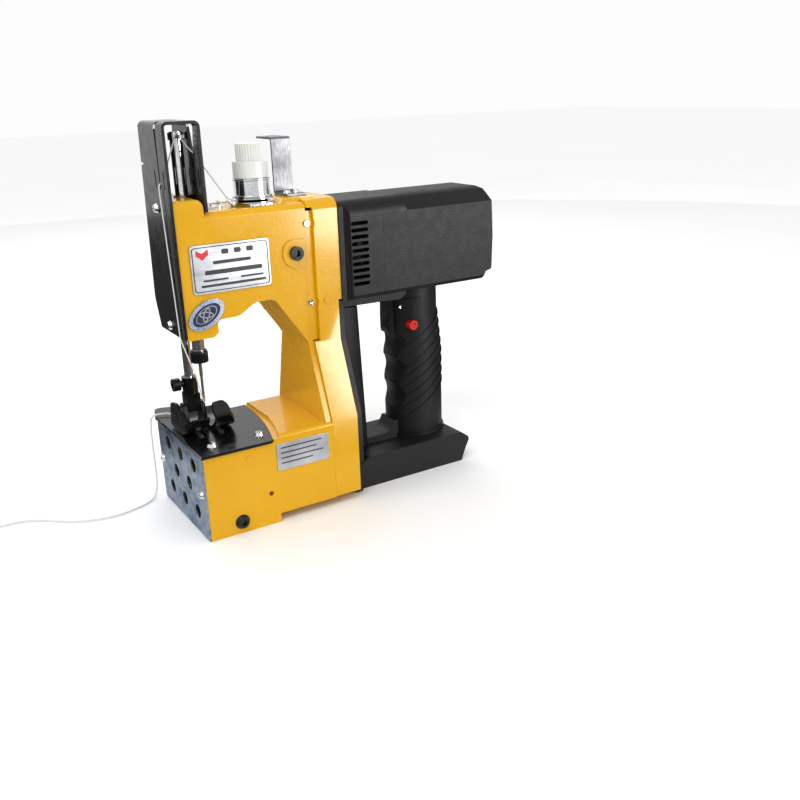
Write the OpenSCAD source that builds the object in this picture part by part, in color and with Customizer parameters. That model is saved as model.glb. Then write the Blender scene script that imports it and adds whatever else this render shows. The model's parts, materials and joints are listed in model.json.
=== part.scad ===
// Portable bag closer sewing machine with a chain-stitch head, a toothed-belt
// drive and a motor handle. The origin is on the floor straight below the needle.
// +X runs back along the machine to the motor, +Y is the outfeed side, +Z is up.

/* [Base] */
// Front end of the base box, measured from the needle
base_front = 19; // [18:0.5:20]
// Back end of the base box, measured from the needle
base_back = 29.5; // [29:0.5:30]
// Half of the base box's width
base_half = 42; // [41:0.5:43]
// Height of the base box under the throat plate
base_top = 56.5; // [56:0.5:57]
// Wall of the castings
wall = 3; // [2.5:0.1:3.2]
// Thickness of the throat plate
plate_t = 2; // [1.8:0.1:2.2]

/* [Arm] */
// Bottom of the sewing head
head_bottom = 125.8; // [125:0.1:126.5]
// Top of the upper arm
arm_top = 201.4; // [201:0.1:202]
// Top of the raised block over the needle bar
bump_top = 209.5; // [208.5:0.5:210]
// Near face of the upper arm, from the needle's plane
arm_near = 22; // [21.5:0.1:22.5]
// Far face of the upper arm with its side cover
arm_far = 21; // [20.5:0.1:21.5]
// Thickness of the arm's side cover
cover_t = 2.5; // [2:0.1:2.6]

/* [Drive] */
// Height of the main shaft
main_z = 180; // [179.5:0.1:180.5]
// Radius of both shafts
shaft_r = 4; // [3.8:0.1:4]
// Radius that the crank pin turns on
crank_r = 13; // [12:0.5:13]
// Distance between the crank pin and the needle bar pin
rod_length = 25; // [25:0.5:26]
// Teeth on each belt pulley
pulley_teeth = 20; // [20:1:20]
// Teeth on the toothed belt
belt_teeth = 74; // [74:1:74]
// Pitch of the belt's teeth
belt_pitch = 5.08; // [5.08:0.01:5.08]
// Width of the belt
belt_w = 9.5; // [8:0.5:9.5]
// Module of the reduction gears
gear_module = 0.8; // [0.8:0.1:0.8]
// Teeth on the motor pinion
pinion_teeth = 12; // [12:1:12]
// Teeth on the reduction gear
gear_teeth = 36; // [36:1:36]

/* [Needle] */
// Radius of the needle bar
needle_bar_r = 3.85; // [3.7:0.05:3.9]
// Height of the needle's point with the bar at its top
needle_tip = 72.5; // [71:0.5:74]
// Top of the needle bar at the top of its stroke
needle_bar_top = 247; // [246:0.5:247]
// Radius of the presser bar
presser_bar_r = 2.8; // [2.6:0.1:3]

/* [Motor and grip] */
// Half width of the motor housing
motor_half = 28; // [27.5:0.5:28.5]
// Underside of the motor housing
motor_bottom = 135.5; // [135:0.5:136]
// Top of the belt cover
cover_top = 203; // [202.5:0.5:204]
// Top of the motor housing
motor_top = 200; // [199.5:0.5:200.5]
// Back end of the motor housing
motor_back = 213.5; // [212:0.5:215]
// Radius of the motor can
can_r = 22; // [20:0.5:22]
// Half width of the grip
grip_half = 18; // [17.5:0.5:18]
// Half length of the grip's oval, front to back
grip_long = 22.35; // [22:0.05:22.5]
// Half width of the front housing where it passes over the finger loop
bridge_half = 19; // [18.5:0.5:19]
// Half width of the battery foot
foot_half = 30; // [29:0.5:31]

/* [Hidden] */
$fn = 48;

yellow = [0.93, 0.68, 0.05];
black = [0.09, 0.09, 0.10];
charcoal = [0.16, 0.15, 0.15];
steel = [0.72, 0.73, 0.75];
chrome = [0.85, 0.86, 0.88];
brass = [0.78, 0.62, 0.30];

running = 0.05;
gap = 0.3;

plate_top = base_top + plate_t;
head_front = -13.5;
bump_back = 4.8;
column_front = 67;
column_back = 71;
casting_far = arm_far - cover_t;
lower_arm_top = 60.5;
lower_arm_far = 31;
cover_back = 92.5;
spine_front = 90;
flare_top = 110.5;
flare_bottom = 61;
split_x = 124;

pulley_pitch_r = pulley_teeth * belt_pitch / (2 * PI);
pulley_r = pulley_pitch_r - 0.25;
shaft_distance = (belt_teeth - pulley_teeth) * belt_pitch / 2;
lower_z = main_z - shaft_distance;
pulley_x = 75;
gear_pitch_r = gear_module * gear_teeth / 2;
pinion_pitch_r = gear_module * pinion_teeth / 2;
motor_z = main_z - gear_pitch_r - pinion_pitch_r;
gear_x = 95.5;
gear_w = 6;

crank_x = 9.5;
crank_t = 3.2;
rod_x = 4.9;
rod_t = 3.1;
rod_pin_r = 2;
block_z = main_z + crank_r - rod_length;

presser_x = -4;
presser_y = 13;
foot_pivot_z = 72;

tension_x = 43;
tension_y = -6;

// ---- helpers -------------------------------------------------------------

// Extrudes a drawing of X across and Z up, from y0 to y1
module xz(y0, y1) {
    translate([0, y1, 0]) rotate([90, 0, 0]) linear_extrude(y1 - y0) children();
}

// Extrudes a drawing of Y across and Z up, from x0 to x1
module yz(x0, x1) {
    translate([x0, 0, 0]) rotate([90, 0, 90]) linear_extrude(x1 - x0) children();
}

// Extrudes a drawing of X across and Y up, from z0 to z1
module xy(z0, z1) {
    translate([0, 0, z0]) linear_extrude(z1 - z0) children();
}

module rod_along_x(x0, x1, y, z, r) {
    translate([x0, y, z]) rotate([0, 90, 0]) cylinder(h = x1 - x0, r = r);
}

module rod_along_y(y0, y1, x, z, r) {
    translate([x, y0, z]) rotate([-90, 0, 0]) cylinder(h = y1 - y0, r = r);
}

module rod_along_z(z0, z1, x, y, r) {
    translate([x, y, z0]) cylinder(h = z1 - z0, r = r);
}

module block(low, high) {
    translate(low) cube(high - low);
}

function unit(v) = v / norm(v);

// The points of one rounded corner at b, between its neighbours a and c
function corner(a, b, c, r, n) =
    let (u = unit(a - b), v = unit(c - b), half = acos(u * v) / 2)
    let (p = b + u * r / tan(half), q = b + v * r / tan(half))
    let (m = b + unit(u + v) * r / sin(half))
    [for (i = [0:n]) m + r * unit((p - m) * (1 - i / n) + (q - m) * i / n)];

// An outline from [x, y, radius] points, each corner rounded to its own radius
function rounded(pts, n = 5) = let (k = len(pts))
    [for (i = [0:k - 1])
        let (a = pts[(i + k - 1) % k], b = pts[i], c = pts[(i + 1) % k])
        each b.z > 0
            ? corner([a.x, a.y], [b.x, b.y], [c.x, c.y], b.z, n)
            : [[b.x, b.y]]];

module outline(pts) {
    polygon(rounded(pts));
}

module plate_outline(x0, x1, y0, y1, r) {
    outline([[x0, y0, r], [x1, y0, r], [x1, y1, r], [x0, y1, r]]);
}

// A spur gear's outline, with straight-sided teeth
function gear_points(teeth, m) = let (r = m * teeth / 2, step = 360 / teeth)
    [for (i = [0:teeth - 1])
        for (p = [[-0.32, -1.2], [-0.13, 0.95], [0.13, 0.95], [0.32, -1.2]])
            let (a = (i + p.x) * step, d = r + p.y * m)
            [d * cos(a), d * sin(a)]];

// A tube of 8 sides swept along a list of points
module swept_tube(path, r) {
    n = len(path);
    sides = 8;
    tangent = [for (i = [0:n - 1]) unit(path[min(i + 1, n - 1)] - path[max(i - 1, 0)])];
    across = [for (t = tangent) unit(cross(t, abs(t.z) > 0.9 ? [1, 0, 0] : [0, 0, 1]))];
    points = [for (i = [0:n - 1]) for (k = [0:sides - 1])
        let (a = 360 * k / sides, u = across[i], v = cross(tangent[i], u))
        path[i] + r * (cos(a) * u + sin(a) * v)];
    skin = [for (i = [0:n - 2]) for (k = [0:sides - 1])
        let (k2 = (k + 1) % sides)
        [i * sides + k, i * sides + k2, (i + 1) * sides + k2, (i + 1) * sides + k]];
    ends = [[for (k = [sides - 1:-1:0]) k], [for (k = [0:sides - 1]) (n - 1) * sides + k]];
    polyhedron(points, concat(skin, ends));
}

// A cross-recessed pan-head screw along -Z, its seat at z = 0
module pan_screw(head_r, length) {
    difference() {
        union() {
            cylinder(h = head_r * 0.62, r1 = head_r, r2 = head_r * 0.72, $fn = 32);
            translate([0, 0, -length]) cylinder(h = length + 0.1, r = head_r * 0.5, $fn = 24);
        }
        for (a = [0, 90])
            rotate(a) translate([-head_r * 0.6, -head_r * 0.12, head_r * 0.3])
                cube([head_r * 1.2, head_r * 0.24, head_r]);
    }
}

// ---- castings and covers ---------------------------------------------------

throat_line = [[column_front, 104, 0], [column_front, 111.6, 0], [45.3, 143.6, 7],
    [32.2, 143.5, 9], [21.3, 136.6, 9], [6.6, 136.2, 3], [6.6, 128.3, 1], [3.5, head_bottom, 0]];

module arm_outline() {
    outline(concat([[head_front, head_bottom, 1.5], [head_front, arm_top, 0],
        [column_back, arm_top, 0], [column_back, 104, 0]], throat_line));
}

// Cross-section of the upper arm, with rounded top edges
module arm_section(far) {
    outline([[-arm_near, 100, 0], [far, 100, 0], [far, arm_top, 4.5], [-arm_near, arm_top, 4.5]]);
}

// The column's section, which widens below the throat
module column_section(near, low_near, far, low_far, top, bottom, r) {
    outline([[-near, flare_top, 0], [-low_near, flare_bottom, 0], [-low_near, bottom, 0],
        [low_far, bottom, 0], [low_far, flare_bottom, 0], [far, flare_top, 0],
        [far, top, r], [-near, top, r]]);
}

// The throat plate's curved right edge, as the area inside it
edge_centre = [-178.5, 29];
edge_r = 217.8;

module plate_area(grow) {
    intersection() {
        translate(edge_centre) circle(r = edge_r + grow, $fn = 360);
        translate([-base_front - 1, -base_half - 1])
            square([61, base_half + lower_arm_far + 1]);
    }
}

module arm_cavity() {
    xz(-arm_near + wall, arm_far + 1)
        polygon([[-10.5, 131.5], [-10.5, 197.5], [64, 197.5], [64, 121.8], [46.9, 146.6],
            [31.4, 146.6], [20.5, 139.6], [3.6, 139.6], [3.6, 131.5]]);
}

post_places = [[-8, -29], [24, -29], [-8, 29], [24, 29]];
cover_screw_places = [[-9.5, 204.2], [58, 199.4], [57.4, 128.4], [-9.6, 129]];
end_screw_places = [[-37, 31], [37, 31]];
seam_x = 71.2;
seam_screw_z = [137.3, 188.2];
seam_front = 68;
seam_back = 75;
seam_depth = 0.8;
rail_x = 12.3;
rail_w = 3.4;
bar_block_back = 4.4;
socket_place = [61.8, 170.8];
base_bolt_place = [2.6, 7.8];
accessory_place = [24, 21.7];

module main_casting() {
    color(yellow) difference() {
        union() {
            // upper arm
            difference() {
                intersection() {
                    xz(-arm_near, casting_far) arm_outline();
                    yz(head_front, column_back) arm_section(casting_far);
                }
                arm_cavity();
            }
            // raised block over the needle bar
            intersection() {
                xz(-arm_near, casting_far) outline([[head_front, 190, 0],
                    [head_front, bump_top, 2.5], [bump_back, bump_top, 5.5], [bump_back, 190, 0]]);
                yz(head_front, bump_back) outline([[-arm_near, 190, 0], [casting_far, 190, 0],
                    [casting_far, bump_top, 2], [-arm_near, bump_top, 2]]);
                union() {
                    block([head_front, -arm_near, 197.5], [bump_back, casting_far, bump_top]);
                    block([-10.5, -12, 190], [bar_block_back, casting_far, 198]);
                }
            }
            // web that carries the front bush of the main shaft
            block([13.4, -arm_near + 1, 163], [19, casting_far, 198]);
            // raised pad in front of the belt cover
            intersection() {
                xz(-15, 16) outline([[56, 200, 0], [60, 204.2, 2], [column_back, 204.2, 0],
                    [column_back, 200, 0]]);
                yz(50, column_back) plate_outline(-15, 16, 190, 204.2, 3);
            }
            // boss around the socket screw
            xz(-arm_near - 1.4, -arm_near + 1) outline([[53.2, 162.2, 7.5], [seam_front, 162.2, 0],
                [seam_front, 179.2, 0], [53.2, 179.2, 7.5]]);
            // column, with a flange that reaches under the belt cover's near wall
            yz(column_front, column_back)
                column_section(arm_near, 40.5, casting_far, lower_arm_far, 120, 6, 0);
            block([column_back - 1, -arm_near + seam_depth, flare_top + 1.5],
                [77, -arm_near + seam_depth + 1.6, 196]);
            // lower arm
            difference() {
                intersection() {
                    block([base_back - 1, -base_half, 6], [column_back, lower_arm_far, lower_arm_top]);
                    yz(0, column_back) outline([[-base_half, 0, 0], [lower_arm_far, 0, 0],
                        [lower_arm_far, lower_arm_top, 2.5], [-base_half, lower_arm_top, 2.5]]);
                }
                block([base_back, -base_half + wall, 9], [column_front + 1, lower_arm_far - wall, 53.5]);
                xy(base_top, lower_arm_top + 1) plate_area(0.3);
                xy(plate_top - 0.2, lower_arm_top + 1) plate_area(4.5);
            }
            // base box, open at the front and at the top
            difference() {
                block([-base_front, -base_half, 0], [base_back, base_half, base_top]);
                block([-base_front - 1, -base_half + wall + 0.5, wall],
                    [base_back - wall - 0.5, base_half - wall - 0.5, base_top + 1]);
            }
            for (p = post_places) {
                rod_along_z(8, base_top, p.x, p.y, 4.5);
                block([p.x - 3.5, min(p.y, base_half * sign(p.y) * 0.96), 8],
                    [p.x + 3.5, max(p.y, base_half * sign(p.y) * 0.96), base_top]);
            }
            // rails that the feed carriage slides on
            for (x = [rail_x, -rail_x - rail_w])
                block([x, -base_half + 1, 49.8], [x + rail_w, base_half - 1, 51.3]);
            for (p = end_screw_places)
                block([-base_front, min(p.x, 42 * sign(p.x)) - 3.5, p.y - 5],
                    [-base_front + 8, max(p.x, 42 * sign(p.x)) + 3.5, p.y + 5]);
            rod_along_y(-base_half, -base_half + 12, base_bolt_place.x, base_bolt_place.y, 6);
            // plug over a casting hole
            rod_along_y(-base_half - 0.4, -base_half + 1, 11.2, 48.8, 2.8);
        }
        // trims what stands past the base box's sides
        for (s = [-1, 1])
            block([-base_front - 1, s > 0 ? base_half : -base_half - 6, 20],
                [-8, s > 0 ? base_half + 6 : -base_half, 40]);
        // channel along the seam with the belt cover, wider at its screws
        block([seam_front, -arm_near - 1, flare_top + 1], [column_back + 1, -arm_near + seam_depth, 198]);
        for (z = seam_screw_z)
            rod_along_y(-arm_near - 1, -arm_near + seam_depth, seam_x, z, 4.6);
        // bushes of both shafts
        rod_along_x(12, 20, 0, main_z, 6);
        rod_along_x(60, 75, 0, main_z, 6);
        rod_along_x(20, 36, 0, lower_z, 6);
        rod_along_x(62, 75, 0, lower_z, 6);
        // bushes of the needle bar and the presser bar
        rod_along_z(120, 142, 0, 0, needle_bar_r + gap);
        // room for the rod and its block at the bottom of the stroke
        block([3.5, -8, 138.3], [9.2, 8, 140]);
        rod_along_z(120, 134, 0, 0, 5);
        rod_along_z(189, 212, 0, 0, 5);
        rod_along_z(120, 134, presser_x, presser_y, 4.2);
        rod_along_z(186, 205, presser_x, presser_y, presser_bar_r + running);
        // window under the base box and the recess of its cover
        block([-13, -33, -1], [21, 33, wall + 1]);
        block([-15.2, -35.2, -1], [23.2, 35.2, 1.8]);
        // screw holes
        for (p = post_places)
            rod_along_z(40, base_top + 1, p.x, p.y, 1.7);
        for (p = end_screw_places)
            rod_along_x(-base_front - 1, -base_front + 7, p.x, p.y, 1.4);
        rod_along_y(-arm_near - 3, -12, socket_place.x, socket_place.y, 2.1);
        rod_along_y(-base_half - 1, -base_half + 10, base_bolt_place.x, base_bolt_place.y, 2.6);
        rod_along_y(-base_half - 1, -base_half + 8, accessory_place.x, accessory_place.y, 1.65);
        for (z = seam_screw_z)
            rod_along_y(-arm_near - 3, -18, seam_x, z, 1.2);
        // bearings of the looper's shaft
        for (s = [-1, 1])
            rod_along_y(s > 0 ? 24 : -base_half + 1, s > 0 ? base_half - 1 : -24,
                looper_x, looper_z, 2.5 + running);
        for (p = cover_screw_places)
            rod_along_y(casting_far - 2.5, casting_far + 1, p.x, p.y, 0.9);
        // pocket for the tension post
        rod_along_z(196, 203, tension_x, tension_y, 4);
    }
}

module arm_side_cover() {
    color(yellow) difference() {
        intersection() {
            xz(casting_far + 0.05, arm_far) union() {
                arm_outline();
                outline([[head_front, 190, 0], [head_front, bump_top, 2.5],
                    [bump_back, bump_top, 5.5], [bump_back, 190, 0]]);
            }
            yz(head_front, column_back) outline([[-arm_near, 100, 0], [arm_far, 100, 0],
                [arm_far, bump_top, 2], [-arm_near, bump_top, 2]]);
        }
        block([column_front - 0.1, 0, 100], [column_back + 1, 30, flare_top + 0.2]);
        rod_along_y(0, 30, lever_x, lever_z, 2 + running);
        for (p = cover_screw_places)
            rod_along_y(0, 30, p.x, p.y, 1.2);
    }
}

module belt_cover() {
    color(yellow) difference() {
        union() {
            difference() {
                yz(column_back + 0.1, cover_back)
                    column_section(24, base_half, 22.5, 32.5, cover_top, 6.5, 8);
                block([spine_front, -60, 0], [100, 60, 137]);
                yz(column_back - 1, 88)
                    column_section(21.5, base_half - 2.5, 20, 30, cover_top - 2.5, 9, 6);
                // opening over the seam's channel
                block([column_back - 1, -30, flare_top + 1], [seam_back, -15, 198]);
                for (z = seam_screw_z)
                    rod_along_y(-30, -15, seam_x, z, 4.6);
            }
            // pad under the thread bracket
            block([column_back + 0.1, -13, cover_top - 2], [82, 12, 204.2]);
            // boss around the ball bearing
            rod_along_x(86, cover_back, 0, main_z, 14);
            // rounded rib where the cover bends outwards
            intersection() {
                rod_along_y(-25.2, -20, 81.5, 138, 2.2);
                block([column_back + 1, -26, 100], [cover_back, 0, 150]);
            }
        }
        rod_along_x(85, 100, 0, main_z, 11);
    }
}

vent_z = [for (i = [0:9]) 146 + i * 4.39];

// Plan view of the front housing, a little narrower where it meets the belt cover
module front_plan(inset) {
    w = motor_half - inset;
    polygon([[cover_back + 0.1, -w + 3], [96, -w + 3], [99.5, -w], [split_x, -w], [split_x, w],
        [99.5, w], [96, w - 3], [cover_back + 0.1, w - 3]]);
}

module motor_section(inset) {
    w = motor_half - inset;
    outline([[-w, motor_bottom + inset, 3], [w, motor_bottom + inset, 3],
        [w, motor_top - inset, 10 - inset], [-w, motor_top - inset, 10 - inset]]);
}

// A spindle along Z that cuts a lens-shaped scoop
module scoop(half_length, depth) {
    big = (half_length * half_length + depth * depth) / (2 * depth);
    rotate_extrude($fn = 48) polygon([for (i = [-8:8])
        let (z = half_length * i / 8) [max(0, sqrt(big * big - z * z) - big + depth), z]]);
}

module front_housing() {
    color(charcoal) difference() {
        union() {
            intersection() {
                xy(motor_bottom, motor_top) front_plan(0);
                yz(cover_back, split_x) motor_section(0);
            }
            // bridge over the finger loop
            xz(-bridge_half, bridge_half) polygon([[96, 129.8], [split_x, 129.2],
                [split_x, motor_bottom + 1], [96, motor_bottom + 1]]);
        }
        difference() {
            intersection() {
                xy(motor_bottom, motor_top) front_plan(2.6);
                yz(cover_back - 1, split_x - 3) motor_section(2.6);
            }
        }
        rod_along_x(split_x - 4, split_x + 1, 0, motor_z, 8 + running);
        for (a = [45:90:315])
            rod_along_x(split_x - 4, split_x + 1, 16 * cos(a), motor_z + 16 * sin(a), 4.5);
        for (z = vent_z) for (s = [-1, 1])
            vent_slot(s, z);
        for (s = [-1, 1])
            translate([96.4, s * motor_half, 165.8]) scoop(20, 2.6);
    }
}

// One vent slot with round ends, through a side wall
module vent_slot(s, z) {
    y0 = s > 0 ? motor_half - 4 : -motor_half - 1;
    y1 = y0 + 5;
    block([101, y0, z - 1.25], [111.2, y1, z + 1.25]);
    for (x = [101, 111.2])
        rod_along_y(y0, y1, x, z, 1.25);
}

// ---- rear housing ----------------------------------------------------------

// Middle of the grip's oval, in its lower part and under the motor
grip_x = 161.8;
grip_top_x = 160;
grip_bottom = 23;
// Reach of the finger waves, from a centre a little behind the oval's own
wave_r = 22.2;
wave_back = 3;

module grip_oval(x, a, b) {
    polygon([for (t = [0:7.5:352.5]) [x + a * cos(t), b * sin(t)]]);
}

// The grip, grown outwards by g: an oval that leans in at the top of its back
module grip_shape(g) {
    intersection() {
        xy(grip_bottom, 142) grip_oval(grip_x, grip_long + g, grip_half + g);
        translate([grip_x, 0, 84]) rotate([0, -6, 0]) translate([0, 0, -90]) linear_extrude(150)
            polygon(concat([for (t = [-90:7.5:90])
                [(grip_long + g) * cos(t), (grip_half + g) * sin(t)]],
                [[-50, grip_half + g], [-50, -grip_half - g]]));
    }
    xy(112, 142) grip_oval(grip_top_x, grip_long - 1.85 + g, grip_half + g);
}

// Rings that cut the waves for the fingers, fading out round the sides
module finger_waves() {
    for (z = [55, 75, 94])
        translate([grip_x + wave_back, 0, z]) rotate_extrude()
            translate([wave_r + 18, 0]) circle(r = 18);
}

module motor_outline(inset) {
    outline([[split_x + 0.1, motor_bottom + inset, 0], [split_x + 0.1, motor_top - inset, 0],
        [209 - inset, motor_top - inset, 2], [211.2 - inset, 198, 1],
        [motor_back - inset, 190.5, 2], [motor_back + 1 - inset, 166, 40],
        [motor_back - inset, 142 + inset, 2], [208.6 - inset, 140.8 + inset, 1],
        [205.7 - inset, motor_bottom + inset, 1]]);
}

module chamfer_cutter(s) {
    difference() {
        yz(138, motor_back + 2) polygon([[s * (motor_half + 1), 189.2],
            [s * (motor_half - 7.5), 198.2], [s * (motor_half - 15), motor_top + 0.2],
            [s * (motor_half - 15), motor_top + 2], [s * (motor_half + 1), motor_top + 2]]);
        xz(-50, 50) polygon([[130, 180], [147.5, 180], [136.5, 205], [130, 205]]);
    }
}

module grip_body() {
    difference() {
        union() {
            grip_shape(0);
            grip_ridges();
            // lip at the bottom of the grip
            xy(grip_bottom, grip_bottom + 2.4) grip_oval(grip_x, grip_long + 1.2, grip_half + 1);
        }
        finger_waves();
    }
    // rear end of the bridge over the finger loop
    xz(-bridge_half, bridge_half) polygon([[split_x + 0.1, 129.2], [141, 128.6], [146, 132],
        [146, motor_bottom + 1], [split_x + 0.1, motor_bottom + 1]]);
}

// Slanting ridges round the grip, raised a little from its surface
module grip_ridges() {
    intersection() {
        grip_shape(0.6);
        xz(-40, 40) polygon([[145, 30], [200, 30], [200, 116], [145, 116]]);
        for (i = [0:7])
            translate([168.8, 0, 52.8 + 7.6 * i]) rotate([0, -32, 0])
                block([-40, -40, -0.65], [40, 40, 0.65]);
    }
}

// The panel's edge seen from the near side
panel_corners = [[142.5, 126.5], [158.9, 127.4], [160.6, 85.5], [150.3, 77.9], [142.5, 72.1]];

module panel_shape(grow) {
    c = [150, 104];
    polygon([for (p = panel_corners) p + grow * unit(p - c)]);
}

// A curved slab that follows the near side of the grip, from depth d to g outside it
module panel_slab(d, g, grow) {
    difference() {
        intersection() {
            union() {
                grip_shape(g);
                grip_ridges();
            }
            xz(-30, -8.6 + grow / 2) panel_shape(grow);
        }
        xy(20, 142) grip_oval(grip_x, grip_long - d, grip_half - d);
        finger_waves();
    }
}

module rear_solid() {
    difference() {
        union() {
            difference() {
                intersection() {
                    xz(-motor_half, motor_half) motor_outline(0);
                    yz(split_x, motor_back + 2) motor_section(0);
                }
                for (s = [-1, 1])
                    chamfer_cutter(s);
            }
            grip_body();
        }
        // motor bay, wiring bay and the grip's hollow
        rod_along_x(split_x - 1, 191, 0, motor_z, can_r + 0.1);
        rod_along_x(190, 206, 0, motor_z, 16);
        intersection() {
            xy(27, 134) grip_oval(162.6, 18.4, 15);
            xz(-20, 20) polygon([[146, 27], [178.5, 27], [178.5, 80], [173, 104], [173, 134],
                [146, 134]]);
        }
        block([150, -10, 128], [170, 10, 145]);
        // the trigger's slot and the lock button's bore
        block([134, -8.2, 100.3], [149.2, 8.2, 128.2]);
        // opening for the end cap
        rod_along_x(205, motor_back + 3, 0, 166.5, 20.1);
        rod_along_y(-30, 0, lock_x, lock_z, 3.8);
        rod_along_y(-11.6, -6, lock_x, lock_z, 4.8);
        panel_slab(1.6, 2, 0.45);
        rod_along_y(-30, -7, panel_screw.x, panel_screw.y, 0.95);
    }
}

module rear_housing_near() {
    color(charcoal) intersection() {
        rear_solid();
        block([100, -60, 0], [230, -0.05, 220]);
    }
}

module rear_housing_far() {
    color(charcoal) intersection() {
        rear_solid();
        block([100, 0.05, 0], [230, 60, 220]);
    }
}

module rear_end_cap() {
    color(black) difference() {
        union() {
            rod_along_x(206.5, motor_back - 0.8, 0, 166.5, 20);
            rod_along_x(motor_back - 1, motor_back + 1.5, 0, 166.5, 17.5);
        }
        for (i = [-3:3])
            block([200, -12, 166.5 + i * 4.4 - 1.1], [220, 12, 166.5 + i * 4.4 + 1.1]);
    }
}

lock_x = 151.2;
lock_z = 108.3;
panel_screw = [144.9, 121.2];
panel_screw_y = -11.4;

module grip_panel() {
    color(charcoal) difference() {
        panel_slab(1.5, 0.3, 0);
        rod_along_y(-30, 0, lock_x, lock_z, 3.8);
        rod_along_y(-30, panel_screw_y, panel_screw.x, panel_screw.y, 1.9);
        rod_along_y(-30, 0, panel_screw.x, panel_screw.y, 1.1);
    }
}

module trigger() {
    color(black) difference() {
        intersection() {
            xz(-8, 8) outline([[143.5, 100.6, 0], [139.6, 100.6, 1.5], [136.9, 107.5, 8],
                [138.4, 116, 8], [138.8, 121, 3], [138, 127.9, 1], [143.5, 127.9, 0]]);
            xy(95, 130) outline([[137.2, -7.9, 6.5], [150, -7.9, 0], [150, 7.9, 0],
                [137.2, 7.9, 6.5]]);
        }
        block([141.2, -5.8, 102.5], [144, 5.8, 126]);
    }
}

module lock_button() {
    color([0.85, 0.10, 0.07]) difference() {
        union() {
            rod_along_y(-20, -10.2, lock_x, lock_z, 3.5);
            rod_along_y(-11.2, -10.2, lock_x, lock_z, 4.2);
        }
        rod_along_y(-21, -19.4, lock_x, lock_z, 1.6);
    }
}

module trigger_switch() {
    color(black) union() {
        block([149.8, -7.6, 97], [168, 7.6, 126]);
        block([146.6, -3, 112], [150, 3, 118]);
        for (z = [100, 106])
            block([167, -4, z], [171.5, -3.2, z + 4]);
        for (z = [100, 106])
            block([167, 3.2, z], [171.5, 4, z + 4]);
    }
}

// Cover behind the belt case; its rib is the front side of the finger loop
module spine_cover() {
    color(charcoal) union() {
        yz(spine_front + 0.1, 96)
            column_section(21, base_half - 4, 20, 29, 135.4, 24, 0);
        intersection() {
            xz(-bridge_half, bridge_half) polygon([[95, 24.2], [113.9, 24.2], [113.2, 40],
                [110.2, 90], [108.2, 129], [95, 129]]);
            xy(20, 140) polygon([[90, -bridge_half], [104, -bridge_half],
                [114.5, -bridge_half + 7], [114.5, bridge_half - 7], [104, bridge_half],
                [90, bridge_half]]);
        }
    }
}

slot_half = 24;
slot_floor = 3.5;
slot_top = 13;

module battery_foot() {
    color(charcoal) difference() {
        union() {
            xz(-foot_half, foot_half) outline([[96.2, 0, 1], [96.2, 17, 3], [104, 22.9, 4],
                [184, 22.9, 4], [192, 17, 3], [188, 9, 3], [184.5, 0, 1]]);
            xz(-34, 34) outline([[spine_front + 0.1, 1, 1], [96.3, 1, 0], [96.3, 23.9, 0],
                [spine_front + 0.1, 23.9, 0]]);
            // neck under the finger loop, curving up to the grip
            difference() {
                xz(-9, 9) outline([[113.5, 20, 0], [114.3, 27.6, 0.5], [129, 27.6, 10],
                    [135.5, 29.6, 8], [139, 36, 0], [142.5, 36, 0], [142.5, 20, 0]]);
                xy(grip_bottom - 0.1, 60) grip_oval(grip_x, grip_long + 0.3, grip_half + 0.3);
                xy(grip_bottom - 0.1, grip_bottom + 2.8)
                    grip_oval(grip_x, grip_long + 1.5, grip_half + 1.3);
            }
        }
        block([112, -slot_half, slot_floor], [200, slot_half, slot_top]);
        block([112, -slot_half + 4, -1], [200, slot_half - 4, slot_floor + 1]);
    }
}

module battery_terminals() {
    color(brass) union() {
        for (y = [-12, -4, 4, 12])
            block([112, y - 0.4, 6], [126, y + 0.4, slot_top]);
    }
}

// ---- motor -------------------------------------------------------------------

module motor_can() {
    color(steel) difference() {
        union() {
            rod_along_x(125, 189, 0, motor_z, can_r);
            rod_along_x(split_x - 3, 126, 0, motor_z, 8);
            rod_along_x(188, 194, 0, motor_z, 8);
        }
        rod_along_x(128, 186, 0, motor_z, 19);
        rod_along_x(120, 200, 0, motor_z, 2.5 + running);
    }
}

module motor_rotor() {
    color(steel) union() {
        rod_along_x(94.5, 196, 0, motor_z, 2.5);
        rod_along_x(131, 133, 0, motor_z, 4.5);
        difference() {
            rod_along_x(138, 172, 0, motor_z, 17.5);
            for (i = [0:8])
                translate([137, 0, motor_z]) rotate([i * 40, 0, 0]) translate([0, -1.2, 9])
                    cube([36, 2.4, 9]);
        }
        rod_along_x(175, 183, 0, motor_z, 8);
    }
}

module motor_pinion() {
    color(brass) translate([gear_x - 0.5, 0, motor_z]) rotate([0, 90, 0]) rotate([0, 0, 15])
        difference() {
            linear_extrude(gear_w + 1) polygon(gear_points(pinion_teeth, gear_module));
            translate([0, 0, -1]) cylinder(h = 10, r = 2.5);
        }
}

module cooling_fan() {
    color(black) difference() {
        union() {
            rod_along_x(106.5, 108, 0, motor_z, 19);
            rod_along_x(106.5, 116, 0, motor_z, 6);
            for (i = [0:8])
                translate([107, 0, motor_z]) rotate([i * 40, 0, 0]) translate([0, -0.7, 5])
                    cube([8.5, 1.4, 13.5]);
        }
        rod_along_x(100, 120, 0, motor_z, 2.5);
    }
}

// ---- main shaft and belt -------------------------------------------------------

module main_shaft() {
    color(steel) rod_along_x(crank_x + 1, 104, 0, main_z, shaft_r);
}

module reduction_gear() {
    color(steel) translate([gear_x, 0, main_z]) rotate([0, 90, 0]) difference() {
        union() {
            linear_extrude(gear_w) polygon(gear_points(gear_teeth, gear_module));
            cylinder(h = gear_w + 1.5, r = 8);
        }
        translate([0, 0, -1]) cylinder(h = 10, r = shaft_r);
        for (i = [0:4])
            rotate(i * 72) translate([10.5, 0, -1]) cylinder(h = 10, r = 1.9, $fn = 24);
    }
}

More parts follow.
